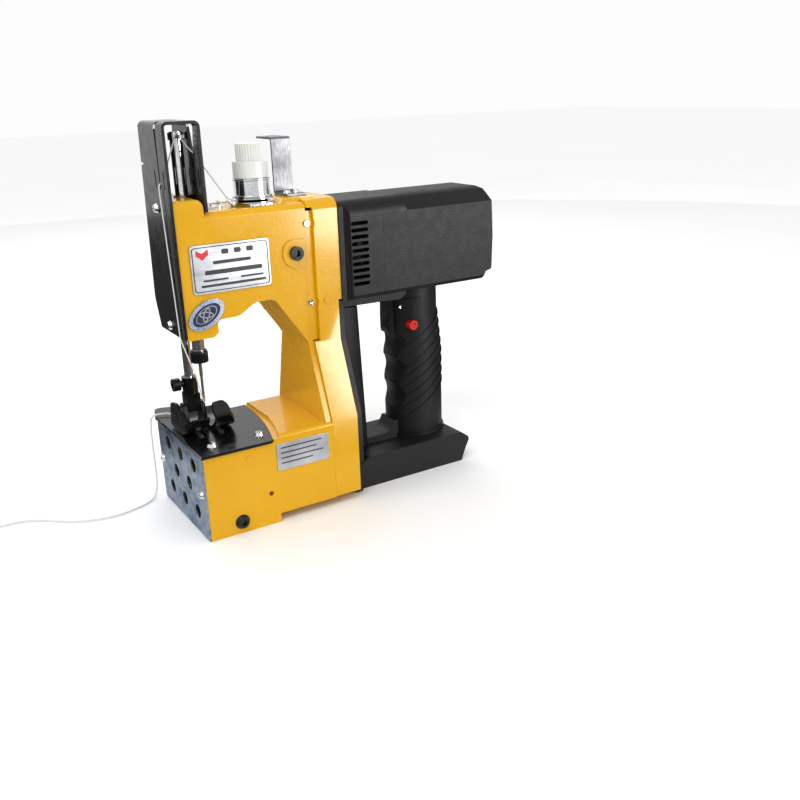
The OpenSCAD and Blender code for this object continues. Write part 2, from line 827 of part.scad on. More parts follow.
module belt_pulley(z) {
    translate([pulley_x, 0, z]) rotate([0, 90, 0]) difference() {
        union() {
            linear_extrude(10) difference() {
                circle(r = pulley_r, $fn = 96);
                for (i = [0:pulley_teeth - 1])
                    rotate((i + 0.5) * 360 / pulley_teeth) translate([pulley_r - 1.4, -1])
                        square([3, 2]);
            }
            translate([0, 0, -0.7]) cylinder(h = 0.7, r = pulley_r + 1.1, $fn = 96);
            translate([0, 0, 10]) cylinder(h = 0.6, r = pulley_r + 1.1, $fn = 96);
        }
        translate([0, 0, -2]) cylinder(h = 15, r = shaft_r);
    }
}

module upper_pulley() {
    color(steel) belt_pulley(main_z);
}

module lower_pulley() {
    color(steel) belt_pulley(lower_z);
}

module crank_disc() {
    color(steel) difference() {
        union() {
            rod_along_x(crank_x, crank_x + crank_t, 0, main_z, 16);
            rod_along_x(rod_x + rod_t + gap, crank_x + 0.1, 0, main_z + crank_r, rod_pin_r);
        }
        rod_along_x(crank_x + 1, 20, 0, main_z, shaft_r);
        for (s = [-1, 1])
            rod_along_x(0, 20, s * 9.5, main_z + 4, 2.6);
    }
}

module bush(x0, x1, z) {
    difference() {
        rod_along_x(x0, x1, 0, z, 6);
        rod_along_x(x0 - 1, x1 + 1, 0, z, shaft_r + running);
    }
}

module shaft_bushes() {
    color(brass) union() {
        bush(13.2, 19.5, main_z);
        bush(62.5, 71.8, main_z);
        bush(24, 34, lower_z);
        bush(64, 72, lower_z);
    }
}

module ball_bearing() {
    color(steel) union() {
        difference() {
            rod_along_x(86.6, 93.4, 0, main_z, 11);
            rod_along_x(80, 100, 0, main_z, shaft_r + running);
            difference() {
                union() {
                    rod_along_x(86, 87.4, 0, main_z, 9);
                    rod_along_x(92.6, 94, 0, main_z, 9);
                }
                rod_along_x(80, 100, 0, main_z, 6);
            }
        }
    }
}

module belt_loop(r, x0, x1) {
    intersection() {
        union() {
            rod_along_x(x0, x1, 0, main_z, r);
            rod_along_x(x0, x1, 0, lower_z, r);
            block([x0, -r, lower_z], [x1, r, main_z]);
        }
    }
}

belt_inner = pulley_r + 0.3;
straight_teeth = floor(shaft_distance / belt_pitch) - 2;

module timing_belt() {
    x0 = pulley_x + 0.3;
    x1 = x0 + belt_w;
    color(black) union() {
        difference() {
            belt_loop(belt_inner + 1.5, x0, x1);
            belt_loop(belt_inner, x0 - 1, x1 + 1);
        }
        for (i = [0:straight_teeth - 1]) for (s = [-1, 1])
            translate([x0, s * (belt_inner - 0.55), (main_z + lower_z) / 2
                    + (i - (straight_teeth - 1) / 2) * belt_pitch])
                translate([0, -0.65, -1.2]) cube([belt_w, 1.3, 2.4]);
    }
}

module lower_shaft() {
    color(steel) rod_along_x(8, 86.5, 0, lower_z, shaft_r);
}

module lower_cams() {
    color(steel) difference() {
        union() {
            rod_along_x(9, 14, 0, lower_z + 1, 5.4);
            rod_along_x(17, 21.5, 1.2, lower_z, 5.4);
        }
        rod_along_x(0, 30, 0, lower_z, shaft_r);
    }
}

// ---- looper and feed ----------------------------------------------------------

looper_x = -9;
looper_z = 20;

module looper() {
    color(chrome) union() {
        rod_along_y(-base_half + 1.4, base_half - 1.4, looper_x, looper_z, 2.5);
        rod_along_y(-6, 6, looper_x, looper_z, 5);
        xz(1.4, 4.2) outline([[looper_x - 3, looper_z, 0], [looper_x - 2, 46.8, 1],
            [3.5, 46.8, 0], [3.5, 45.8, 0], [-3, 43.4, 2], [looper_x + 3, looper_z, 0]]);
    }
}

dog_rows = [-8.4, 5.2];
dog_w = 3.2;
dog_pins = [[6.8, -7], [-6.8, 15]];

module feed_bar() {
    color(steel) difference() {
        union() {
            block([-15, -16, 51.35], [15, 21, 53.2]);
            block([-12, -16, 50], [12, 21, 51.4]);
        }
        block([-3.6, -12, 45], [3.6, 18, 60]);
        for (p = dog_pins)
            rod_along_z(45, 60, p.x, p.y, 1.5 + running);
    }
}

module feed_dog() {
    color(steel) union() {
        block([dog_rows[0], -9, 54.8], [dog_rows[1] + dog_w, -5, 56.2]);
        block([dog_rows[0], 13, 54.8], [dog_rows[1] + dog_w, 17, 56.2]);
        for (x = dog_rows) {
            block([x, -9, 55.4], [x + dog_w, 17, 57.6]);
            for (i = [0:12])
                translate([x, -9 + 2 * i, 57.5]) rotate([90, 0, 90])
                    linear_extrude(dog_w) polygon([[0, 0], [2, 0], [2, 1.3]]);
        }
        for (p = dog_pins)
            rod_along_z(50.2, 55, p.x, p.y, 1.5);
    }
}

// ---- needle bar -----------------------------------------------------------------

module needle_bar() {
    color(chrome) difference() {
        rod_along_z(108, needle_bar_top, 0, 0, needle_bar_r);
        rod_along_z(100, 118, 0, 0, 1.1);
    }
}

module drive_block() {
    color(steel) difference() {
        union() {
            intersection() {
                rod_along_z(block_z - 3.2, block_z + 4.5, 0, 0, 7);
                block([-10, -10, 100], [4.5, 10, 300]);
            }
            rod_along_x(3.9, 8, 0, block_z, 2);
        }
        rod_along_z(100, 300, 0, 0, needle_bar_r);
    }
}

module needle_clamp() {
    color(black) difference() {
        union() {
            rod_along_z(105.6, 112.4, 0, 0, 5.6);
            rod_along_z(112.3, 113.6, 0, 0, 4.9);
        }
        rod_along_z(108, 120, 0, 0, needle_bar_r);
        rod_along_z(100, 120, 0, 0, 1.1);
        for (i = [0:17])
            rotate(i * 20) translate([5.6, 0, 104]) cylinder(h = 12, r = 0.35, $fn = 16);
    }
}

needle_eye_z = needle_tip + 5;

module needle() {
    color(chrome) difference() {
        union() {
            rod_along_z(96, 117, 0, 0, 1.1);
            rod_along_z(needle_tip + 7, 96.5, 0, 0, 0.85);
            translate([0, 0, needle_tip]) cylinder(h = 7.1, r1 = 0.15, r2 = 0.85);
        }
        rod_along_y(-3, 3, 0, needle_eye_z, 0.3);
    }
}

take_up_eye = [0, -9, 244.4];

module take_up_bar() {
    color(chrome) difference() {
        union() {
            rod_along_z(242.4, 246.4, 0, 0, 4.8);
            block([-2, -9, 243.4], [2, 0, 245.4]);
            rod_along_z(243.4, 245.4, take_up_eye.x, take_up_eye.y, 2);
        }
        rod_along_z(200, 260, 0, 0, needle_bar_r);
        rod_along_z(240, 250, take_up_eye.x, take_up_eye.y, 0.9);
    }
}

module connecting_rod() {
    color(steel) difference() {
        union() {
            rod_along_x(rod_x, rod_x + rod_t, 0, block_z, 3.4);
            rod_along_x(rod_x, rod_x + rod_t, 0, main_z + crank_r, 4.2);
            block([rod_x, -2.2, block_z], [rod_x + rod_t, 2.2, main_z + crank_r]);
        }
        rod_along_x(0, 20, 0, block_z, 2 + running);
        rod_along_x(0, 20, 0, main_z + crank_r, rod_pin_r + running);
    }
}

module bar_bushes() {
    color(brass) {
        difference() {
            rod_along_z(head_bottom - 1, 132, 0, 0, 5);
            rod_along_z(100, 220, 0, 0, needle_bar_r + running);
        }
        difference() {
            rod_along_z(197.6, bump_top + 0.8, 0, 0, 5);
            rod_along_z(100, 220, 0, 0, needle_bar_r + running);
        }
        difference() {
            rod_along_z(head_bottom - 1, 132, presser_x, presser_y, 4.2);
            rod_along_z(100, 220, presser_x, presser_y, presser_bar_r + running);
        }
    }
}

// ---- presser ----------------------------------------------------------------------

collar_z = 160;

module presser_bar() {
    color(chrome) rod_along_z(82, 196, presser_x, presser_y, presser_bar_r);
}

module presser_collar() {
    color(steel) difference() {
        union() {
            rod_along_z(collar_z, collar_z + 6, presser_x, presser_y, 4.2);
            block([presser_x - 3, presser_y, collar_z], [presser_x + 1.6, 18.1, collar_z + 4]);
        }
        rod_along_z(100, 220, presser_x, presser_y, presser_bar_r);
    }
}

spring_low = collar_z + 6.1;
spring_high = 189.6;
spring_turns = 7;
spring_path = [for (i = [0:76])
    let (a = i * spring_turns * 360 / 76, z = spring_low + 0.5 + (spring_high - spring_low - 1) * i / 76)
    [presser_x + 3.9 * cos(a), presser_y + 3.9 * sin(a), z]];

module presser_spring() {
    color(steel) swept_tube(spring_path, 0.5);
}

module foot_clamp() {
    color(black) difference() {
        union() {
            rod_along_z(80, 93, presser_x, presser_y, 5);
            block([presser_x - 4.5, presser_y - 5, 70], [presser_x + 4.5, presser_y + 5, 82]);
            rod_along_x(presser_x - 11.5, presser_x - 3, presser_y, 89, 2.2);
            rod_along_x(presser_x - 11.5, presser_x - 7, presser_y, 89, 4.2);
            rod_along_x(presser_x - 7.4, presser_x + 7.4, presser_y, foot_pivot_z, 1.5);
        }
        rod_along_z(82, 100, presser_x, presser_y, presser_bar_r);
        rod_along_x(presser_x - 12, presser_x - 10.4, presser_y, 89, 1.7);
    }
}

sole_z = plate_top + 0.8;

// Side view of the foot's sole, curled up at its toe and a little at its heel
sole_side = [[-1, sole_z], [15, sole_z], [22, sole_z + 2.2], [26, sole_z + 5.4],
    [24.8, sole_z + 6.4], [20, sole_z + 3.8], [14, sole_z + 1.8], [-0.4, sole_z + 1.8],
    [-5, sole_z + 3.6], [-9.4, sole_z + 7.4], [-13, sole_z + 12.6], [-14.6, sole_z + 11.8],
    [-10.8, sole_z + 6.2], [-6, sole_z + 2]];

module presser_foot() {
    color(black) difference() {
        union() {
            // sole
            intersection() {
                yz(-20, 20) polygon(sole_side);
                xy(50, 90) outline([[-17, -15, 8], [16, -15, 8], [16, 28, 10], [-17, 28, 10]]);
            }
            // ears of the pivot
            for (s = [-1, 1])
                yz(presser_x + s * 6 - 1.2, presser_x + s * 6 + 1.2)
                    outline([[presser_y - 8, sole_z + 1, 0], [presser_y + 6, sole_z + 1, 0],
                        [presser_y + 3.6, foot_pivot_z + 3.6, 3.2],
                        [presser_y - 3.6, foot_pivot_z + 3.6, 3.2]]);
            // left side plate with its slot
            difference() {
                yz(-17, -15.4) outline([[-8, sole_z + 3, 0], [4, sole_z + 0.2, 0],
                    [22, sole_z + 0.2, 3], [18, sole_z + 17, 5], [6, sole_z + 19.5, 6],
                    [-7, sole_z + 9, 3]]);
                rod_along_x(-20, -10, 6.4, sole_z + 9, 1.2);
                rod_along_x(-20, -10, 7.6, sole_z + 13, 1.2);
                yz(-20, -10) polygon([[5.2, sole_z + 9], [7.6, sole_z + 9], [8.8, sole_z + 13],
                    [6.4, sole_z + 13]]);
            }
            // right side's guard, which leans back
            leaning_plate();
        }
        rod_along_x(-20, 20, presser_y, foot_pivot_z, 1.5 + running);
        // slot for the needle
        block([-2.2, -24, 50], [2.2, 5, 90]);
        rod_along_z(50, 90, 0, 5, 2.2);
    }
}

// A round-topped plate that stands on the right half of the sole and leans back
module leaning_plate() {
    intersection() {
        yz(5, 16) polygon([[-9.6, sole_z + 4.4], [-7.2, sole_z + 3.4], [-1, sole_z + 9],
            [3.6, sole_z + 16], [1.8, sole_z + 17], [-3, sole_z + 10.8]]);
        xz(-20, 20) outline([[5, 58, 0], [16, 58, 0], [16, sole_z + 17, 5], [5, sole_z + 17, 4.5]]);
    }
}

lever_x = 1.6;
lever_z = 160.9;
lever_finger = 5.6;
finger_tip = [lever_x - lever_finger * cos(38), lever_z - lever_finger * sin(38)];
handle_end = [lever_x + 30 * cos(22), lever_z + 30 * sin(22)];

// A straight bar with round ends between two points
module link(a, b, r) {
    side = r * unit([a.y - b.y, b.x - a.x]);
    translate(a) circle(r = r);
    translate(b) circle(r = r);
    polygon([a + side, b + side, b - side, a - side]);
}

module lifter_lever() {
    pivot = [lever_x, lever_z];
    color(chrome) union() {
        rod_along_y(16.4, arm_far + 3.4, lever_x, lever_z, 2);
        xz(16.4, 18.1) union() {
            link(pivot, finger_tip, 1.2);
            translate(pivot) circle(r = 2.4);
        }
        xz(arm_far + 0.4, arm_far + 3.2) union() {
            link(pivot, handle_end, 3.4);
            translate(pivot) circle(r = 4.8);
            translate(handle_end) circle(r = 5);
        }
    }
}

// ---- guard, plates and covers ---------------------------------------------------------

guard_out = -15.6;
guard_right = 7.1;
guard_top = 253.4;
guard_t = 1.8;

module guard_shape(d) {
    outline([[guard_out + d, 100, 0], [guard_right - d, 100, 0],
        [guard_right - d, guard_top - d, 3.4 - d], [guard_out + d, guard_top - d, 3.4 - d]]);
}

// One thread slot in both legs, from z0 to z1
module guard_slot(y, z0, z1) {
    block([guard_out - 1, y - 0.7, z0], [guard_right + 1, y + 0.7, z1]);
    for (z = [z0, z1])
        rod_along_x(guard_out - 1, guard_right + 1, y, z, 0.7);
}

// The part of the middle slot that widens upwards, between x0 and x1
module guard_vee(x0, x1, half) {
    yz(x0, x1) polygon([[guard_slot_y - 0.7, 225], [guard_slot_y + 0.7, 225],
        [guard_slot_y + 0.7, 231], [guard_slot_y + half, guard_top - 4],
        [guard_slot_y - half, guard_top - 4], [guard_slot_y - 0.7, 231]]);
}

guard_screw_places = [[1.6, 203.6], [1.6, 131.6]];
guard_slot_y = -10.5;

module take_up_guard() {
    color(black) difference() {
        intersection() {
            xz(-40, 40) difference() {
                guard_shape(0);
                guard_shape(guard_t);
            }
            yz(-30, 30) outline([[-23.2, 127, 1], [20.3, 127, 2], [26, 142.5, 2], [27, 146, 1],
                [20, guard_top + 1, 0], [-23.2, guard_top + 1, 0]]);
        }
        // the right leg ends on the arm
        block([-13, -40, 90], [20, 40, arm_top + 0.2]);
        for (y = [-7.5, 0, 7.5])
            guard_slot(guard_slot_y + y, 216.5, 225.5);
        // the middle slot runs on over the top, and opens into a V on the right
        guard_vee(guard_out - 1, -5, 1.6);
        guard_vee(-5, guard_right + 1, 5.2);
        xy(guard_top - 4, guard_top + 1) polygon([[guard_out - 1, guard_slot_y - 1.6],
            [guard_right + 1, guard_slot_y - 5.2], [guard_right + 1, guard_slot_y + 5.2],
            [guard_out - 1, guard_slot_y + 1.6]]);
        // notch in the back edge
        block([guard_out - 1, 17.6, 228], [guard_out + guard_t + 0.1, 22, 229.4]);
        for (p = guard_screw_places)
            rod_along_x(guard_out - 1, head_front + 1, p.x, p.y, 1.5);
    }
}

module throat_plate() {
    color(black) difference() {
        union() {
            intersection() {
                xy(base_top, plate_top) plate_area(0);
                xy(base_top, plate_top) outline([[-20.4, -base_half - 1.2, 2], [60, -base_half - 1.2, 0],
                    [60, lower_arm_far, 0], [-20.4, lower_arm_far, 0]]);
                xy(base_top, plate_top) outline([[-21, -base_half - 1.2, 0], [27.8, -base_half - 1.2, 4],
                    [34, -20, 0], [45, 0, 0], [45, 50, 0], [-21, 50, 0]]);
            }
            xy(base_top, plate_top) outline([[-20.4, 30, 0], [29, 30, 0], [29, base_half, 4],
                [14, base_half + 4, 8], [4, 56, 10], [-15.4, 63, 4], [-20.4, 46, 6]]);
        }
        // needle hole and feed slots
        rod_along_z(50, 70, 0, 0, 1.8);
        for (x = dog_rows)
            block([x - 0.8, -12.5, 50], [x + dog_w + 0.8, 20.5, 60]);
        for (p = post_places)
            rod_along_z(50, 70, p.x, p.y, 2.1);
    }
}

hole_rows = [[47, [-25, -1, 23]], [31, [-13.4, 10.6]], [15.2, [-25, -1, 23]]];

module end_cover() {
    color([0.35, 0.42, 0.52]) difference() {
        yz(-base_front - 1.3, -base_front - 0.05)
            plate_outline(-base_half, base_half, 0.6, base_top - 0.1, 1.5);
        for (row = hole_rows) for (y = row[1])
            rod_along_x(-30, -10, y, row[0], 4.6);
        for (p = end_screw_places)
            rod_along_x(-30, -10, p.x, p.y, 1.6);
    }
}

module bottom_cover() {
    color(steel) difference() {
        xy(0, 1.7) plate_outline(-15, 23, -35, 35, 3);
        for (x = [-10, 18]) for (y = [-30, 30])
            rod_along_z(-1, 3, x, y, 1.6);
    }
}

// ---- thread tension and guides ------------------------------------------------------------

module tension_post() {
    color(chrome) union() {
        rod_along_z(197, 203, tension_x, tension_y, 4);
        translate([tension_x, tension_y, arm_top + 0.05]) cylinder(h = 1.6, r = 14.6, $fn = 6);
        // raised tab that leads the thread to the discs
        xz(tension_y - 3, tension_y + 2.5) polygon([[36, 201.9], [36, 202.9], [29.4, 202.9],
            [26.4, 205.6], [25.7, 204.8], [28.9, 201.9]]);
        rod_along_z(202, 236, tension_x, tension_y, 2.5);
    }
}

module tension_discs() {
    color(chrome) difference() {
        union() {
            rod_along_z(203.1, 203.9, tension_x, tension_y, 12.9);
            translate([tension_x, tension_y, 203.8]) cylinder(h = 0.8, r1 = 12, r2 = 9);
            translate([tension_x, tension_y, 204.7]) cylinder(h = 0.8, r1 = 9, r2 = 12);
            rod_along_z(205.4, 206.2, tension_x, tension_y, 12.9);
            rod_along_z(204, 205, tension_x, tension_y, 6);
        }
        rod_along_z(200, 210, tension_x, tension_y, 2.5 + running);
    }
}

module tension_cup() {
    color(chrome) difference() {
        union() {
            rod_along_z(206.25, 207.6, tension_x, tension_y, 12.2);
            rod_along_z(207.5, 216.6, tension_x, tension_y, 11.2);
            rod_along_z(216.5, 217.6, tension_x, tension_y, 11.6);
        }
        rod_along_z(209, 220, tension_x, tension_y, 9.6);
        rod_along_z(200, 220, tension_x, tension_y, 2.5 + running);
    }
}

module ribbed(z0, z1, r, ribs, depth) {
    difference() {
        rod_along_z(z0, z1, tension_x, tension_y, r);
        translate([tension_x, tension_y, z0 - 1]) for (i = [0:ribs - 1])
            rotate(i * 360 / ribs) translate([r + 0.3, 0, 0])
                cylinder(h = z1 - z0 + 2, r = depth + 0.3, $fn = 16);
    }
}

module tension_knob() {
    color([0.93, 0.93, 0.89]) difference() {
        union() {
            rod_along_z(217.9, 227.6, tension_x, tension_y, 10.8);
            ribbed(227.5, 238.2, 8.3, 30, 0.45);
            rod_along_z(210.5, 218, tension_x, tension_y, 8.6);
        }
        rod_along_z(200, 236.6, tension_x, tension_y, 2.5 + running);
        rod_along_z(209, 216, tension_x, tension_y, 6.5);
    }
}

bracket_x = [65.5, 79];
riser_y = 11.5;
bracket_screw_x = [68.9, 75.4];
bracket_screw_y = -1.5;

module thread_bracket() {
    color(chrome) difference() {
        bracket_strip();
        for (x = bracket_screw_x)
            rod_along_z(200, 210, x, bracket_screw_y, 1.6);
        rod_along_z(236, 244, 72.2, 28, 1.8);
    }
}

// A Z-shaped strip: foot towards -Y, riser, and a top flange towards +Y
module bracket_strip() {
    yz(bracket_x[0], bracket_x[1]) polygon(concat(
        rounded([[-9, 204.3, 0], [riser_y, 204.3, 1.6], [riser_y, 238.4, 1.2], [33, 238.4, 0]]),
        rounded([[33, 239.7, 0], [riser_y - 1.4, 239.7, 1.6], [riser_y - 1.4, 205.7, 1.2], [-9, 205.7, 0]])));
}

module thread_guide() {
    color(chrome) union() {
        difference() {
            xy(arm_top + 0.05, arm_top + 1.25) plate_outline(10, 22, -8, 0, 2);
            rod_along_z(200, 205, 14, -4, 1.6);
        }
        difference() {
            yz(20.8, 22) outline([[-8, arm_top + 0.1, 0], [0, arm_top + 0.1, 0],
                [0, arm_top + 4.2, 2], [-8, arm_top + 4.2, 2]]);
            rod_along_x(15, 30, -4, arm_top + 2.6, 0.9);
        }
    }
}

module name_plate() {
    color([0.75, 0.76, 0.78]) union() {
        xz(-arm_near - 0.7, -arm_near) plate_outline(-7, 44.2, 153.3, 182.8, 2);
        xz(-base_half - 0.4, -base_half) plate_outline(29.5, 67, 36, 54.5, 1);
    }
}

module badge() {
    tilt = 30;
    color([0.2, 0.25, 0.45]) xz(-arm_near - 0.9, -arm_near) polygon([for (i = [0:47])
        let (a = i * 7.5, u = 12.8 * cos(a), v = 7.8 * sin(a))
        [-0.4 + u * cos(tilt) - v * sin(tilt), 140.7 + u * sin(tilt) + v * cos(tilt)]]);
}

// ---- fasteners -------------------------------------------------------------------------------

module small_screws() {
    color(chrome) {
        for (p = guard_screw_places)
            translate([guard_out, p.x, p.y]) rotate([0, -90, 0]) pan_screw(3, 1.6);
        for (p = post_places)
            translate([p.x, p.y, plate_top]) pan_screw(3.2, 8);
        for (p = end_screw_places)
            translate([-base_front - 1.3, p.x, p.y]) rotate([0, -90, 0]) pan_screw(2.8, 6);
        for (z = seam_screw_z)
            translate([seam_x, -arm_near + seam_depth, z]) rotate([90, 0, 0]) pan_screw(2.4, 3);
        for (p = cover_screw_places)
            translate([p.x, arm_far, p.y]) rotate([-90, 0, 0]) pan_screw(1.8, 4);
        for (x = bracket_screw_x)
            translate([x, bracket_screw_y, 205.7]) pan_screw(2.6, 1.3);
        translate([14, -4, arm_top + 1.25]) pan_screw(2.6, 1.1);
        translate([panel_screw.x, panel_screw_y, panel_screw.y]) rotate([90, 0, 0])
            pan_screw(1.9, 3);
    }
}

// A black screw along +Y with a hexagon socket; its head's seat is at y
module socket_screw(x, y, z, head_r, head_h, length) {
    difference() {
        union() {
            rod_along_y(y - head_h, y, x, z, head_r);
            rod_along_y(y - 0.1, y + length, x, z, head_r * 0.46);
        }
        translate([x, y - head_h - 0.1, z]) rotate([-90, 0, 0])
            cylinder(h = head_h * 0.8, r = head_r * 0.5, $fn = 6);
    }
}

module socket_screws() {
    color(black) {
        socket_screw(socket_place.x, -arm_near - 1.4, socket_place.y, 4.5, 2.4, 8);
        difference() {
            translate([base_bolt_place.x, -base_half, base_bolt_place.y]) rotate([90, 0, 0])
                cylinder(h = 2.6, r1 = 5, r2 = 3.4);
            translate([base_bolt_place.x, -base_half - 3, base_bolt_place.y]) rotate([-90, 0, 0])
                cylinder(h = 2, r = 2, $fn = 6);
        }
        rod_along_y(-base_half - 0.1, -base_half + 9, base_bolt_place.x, base_bolt_place.y, 2.5);
    }
}

// ---- threads ------------------------------------------------------------------------------------

thread_r = 0.45;

// Upper thread, from the tension discs over the guard and the take-up to the needle
upper_route = [[32.1, -8.7, 204.65], [29.8, -7.8, 204.9], [26.2, -6.6, 206.4], [7.5, -9.9, 233.3],
    [5, -9.8, 236], [0.5, -9.3, 242.2], [0, -9, 243.2], [0, -9, 245.8], [-1.2, -9.2, 246.5],
    [-3, -9.4, 246.2], [-12, -10.2, 224], [-14.6, -10.4, 219.4], [-16.6, -10.6, 218],
    [-16.8, -11.2, 214], [-16.7, -18.2, 128], [-16.2, -17.8, 125.6], [-6, -8, 98],
    [-1.2, -1.8, 80], [0, -1.25, 77.7]];

module upper_thread() {
    color([0.95, 0.95, 0.95]) swept_tube(upper_route, thread_r);
}

tail_r = 0.8;

// Chain of stitches: off the plate's horn, down to the floor and away to the left
tail_route = [[-4, 30, 60], [-8, 38, 60], [-13, 43, 60], [-18, 45, 60], [-21.4, 46, 59.4],
    [-23, 46.6, 57.4], [-23.6, 47, 54], [-24, 47.4, 48], [-24, 47.8, 40], [-24, 48, 32],
    [-24, 48, 24], [-24.2, 47.6, 16], [-24.8, 46.6, 9], [-26.4, 44.6, 4], [-29, 41.6, 1.6],
    [-33, 38.4, 0.9], [-41, 34, 0.9], [-51, 31, 0.9], [-60, 30, 0.9], [-69, 31, 0.9],
    [-78, 34, 0.9], [-87, 39, 0.9], [-94, 45, 0.9], [-101, 51.4, 0.9], [-108, 56.4, 0.9],
    [-116, 59.4, 0.9], [-126, 60, 0.9], [-136, 60.4, 0.9]];

module thread_tail() {
    color([0.95, 0.95, 0.95]) swept_tube(tail_route, tail_r);
}

main_casting();
arm_side_cover();
belt_cover();
front_housing();
rear_housing_near();
rear_housing_far();
rear_end_cap();
spine_cover();
battery_foot();
battery_terminals();
grip_panel();
trigger();
lock_button();
trigger_switch();
motor_can();
motor_rotor();
motor_pinion();
cooling_fan();
main_shaft();
reduction_gear();
upper_pulley();
crank_disc();
shaft_bushes();
ball_bearing();
timing_belt();
lower_shaft();
lower_pulley();
lower_cams();
looper();
feed_bar();
feed_dog();
needle_bar();
drive_block();
needle_clamp();
needle();
take_up_bar();
connecting_rod();
bar_bushes();
presser_bar();
presser_collar();
presser_spring();
foot_clamp();
presser_foot();
lifter_lever();
take_up_guard();
throat_plate();
end_cover();
bottom_cover();
tension_post();
tension_discs();
tension_cup();
tension_knob();
thread_bracket();
thread_guide();
name_plate();
badge();
small_screws();
socket_screws();
upper_thread();
thread_tail();
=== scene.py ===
"""Looks of the portable bag closer sewing machine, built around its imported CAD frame."""

import json
import math

import bmesh
import bpy
from mathutils import Matrix, Vector

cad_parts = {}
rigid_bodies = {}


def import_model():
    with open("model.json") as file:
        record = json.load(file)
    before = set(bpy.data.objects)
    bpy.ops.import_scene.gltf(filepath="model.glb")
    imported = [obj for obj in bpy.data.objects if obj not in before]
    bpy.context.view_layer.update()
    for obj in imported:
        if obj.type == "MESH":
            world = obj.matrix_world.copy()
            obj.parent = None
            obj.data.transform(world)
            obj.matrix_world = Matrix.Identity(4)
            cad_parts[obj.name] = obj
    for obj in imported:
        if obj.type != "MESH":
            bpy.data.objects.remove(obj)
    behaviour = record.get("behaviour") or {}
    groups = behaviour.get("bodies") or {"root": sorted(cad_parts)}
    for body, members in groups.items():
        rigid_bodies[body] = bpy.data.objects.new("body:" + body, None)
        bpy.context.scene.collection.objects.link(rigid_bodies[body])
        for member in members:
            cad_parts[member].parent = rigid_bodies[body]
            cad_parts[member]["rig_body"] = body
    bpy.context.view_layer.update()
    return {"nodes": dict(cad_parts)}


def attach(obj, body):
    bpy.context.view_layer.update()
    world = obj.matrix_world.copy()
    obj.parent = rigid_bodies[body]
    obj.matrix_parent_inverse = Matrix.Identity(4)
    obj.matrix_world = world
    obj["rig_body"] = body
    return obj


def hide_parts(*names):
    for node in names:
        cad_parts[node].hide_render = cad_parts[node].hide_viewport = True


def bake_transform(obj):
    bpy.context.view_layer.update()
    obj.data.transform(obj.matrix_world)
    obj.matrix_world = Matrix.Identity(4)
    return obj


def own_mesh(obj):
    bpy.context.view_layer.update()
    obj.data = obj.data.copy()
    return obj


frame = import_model()
NODES = frame["nodes"]
MM = 0.001


# ---- camera ------------------------------------------------------------------------

CAMERA_PLACE = Vector((-181.06, -534.16, 270.43)) * MM
CAMERA_RIGHT = Vector((0.8441, -0.5356, -0.0299))
CAMERA_DOWN = Vector((-0.2031, -0.2680, -0.9417))
CAMERA_AHEAD = Vector((0.4963, 0.8008, -0.3350))
CAMERA_LENS = 40.23


def add_camera():
    data = bpy.data.cameras.new("view")
    data.lens = CAMERA_LENS
    data.sensor_width = 36.0
    data.clip_start = 0.01
    data.clip_end = 20.0
    camera = bpy.data.objects.new("view", data)
    bpy.context.scene.collection.objects.link(camera)
    turn = Matrix((CAMERA_RIGHT, -CAMERA_DOWN, -CAMERA_AHEAD)).transposed().to_4x4()
    camera.matrix_world = Matrix.Translation(CAMERA_PLACE) @ turn
    bpy.context.scene.camera = camera


# ---- mesh helpers ---------------------------------------------------------------------

def add_piece(name, mesh, body="frame", finish=None, replaced=()):
    """Links a mesh as a piece that rides on a body."""
    piece = bpy.data.objects.new(name, mesh)
    bpy.context.scene.collection.objects.link(piece)
    if finish is not None:
        mesh.materials.clear()
        mesh.materials.append(finish)
    if body is not None:
        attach(piece, body)
    if replaced:
        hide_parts(*replaced)
    return piece


def smooth(mesh, angle=40.0):
    """Shades the mesh smooth, apart from edges sharper than the angle."""
    for polygon in mesh.polygons:
        polygon.use_smooth = True
    mesh.set_sharp_from_angle(angle=math.radians(angle))


def mesh_from_bmesh(name, built):
    mesh = bpy.data.meshes.new(name)
    bmesh.ops.recalc_face_normals(built, faces=built.faces)
    built.to_mesh(mesh)
    built.free()
    return mesh


def body_of(node):
    return NODES[node]["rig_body"]


def softened(node, finish, width):
    """A copy of a CAD node's mesh with its hard edges rounded, which stands for the node."""
    built = bmesh.new()
    built.from_mesh(NODES[node].data)
    bmesh.ops.remove_doubles(built, verts=built.verts, dist=2e-6)
    bmesh.ops.dissolve_limit(built, angle_limit=math.radians(0.6), verts=built.verts,
                             edges=built.edges)
    mesh = bpy.data.meshes.new(node + "_skin")
    built.to_mesh(mesh)
    built.free()
    for polygon in mesh.polygons:
        polygon.use_smooth = True
    piece = add_piece(node + "_skin", mesh, body_of(node), finish, (node,))
    bevel = piece.modifiers.new("rounding", "BEVEL")
    bevel.width = width * MM
    bevel.segments = 3
    bevel.limit_method = "ANGLE"
    bevel.angle_limit = math.radians(35.0)
    bevel.harden_normals = False
    bevel.use_clamp_overlap = True
    normals = piece.modifiers.new("shading", "WEIGHTED_NORMAL")
    normals.keep_sharp = False
    return piece


# ---- material helpers -----------------------------------------------------------------

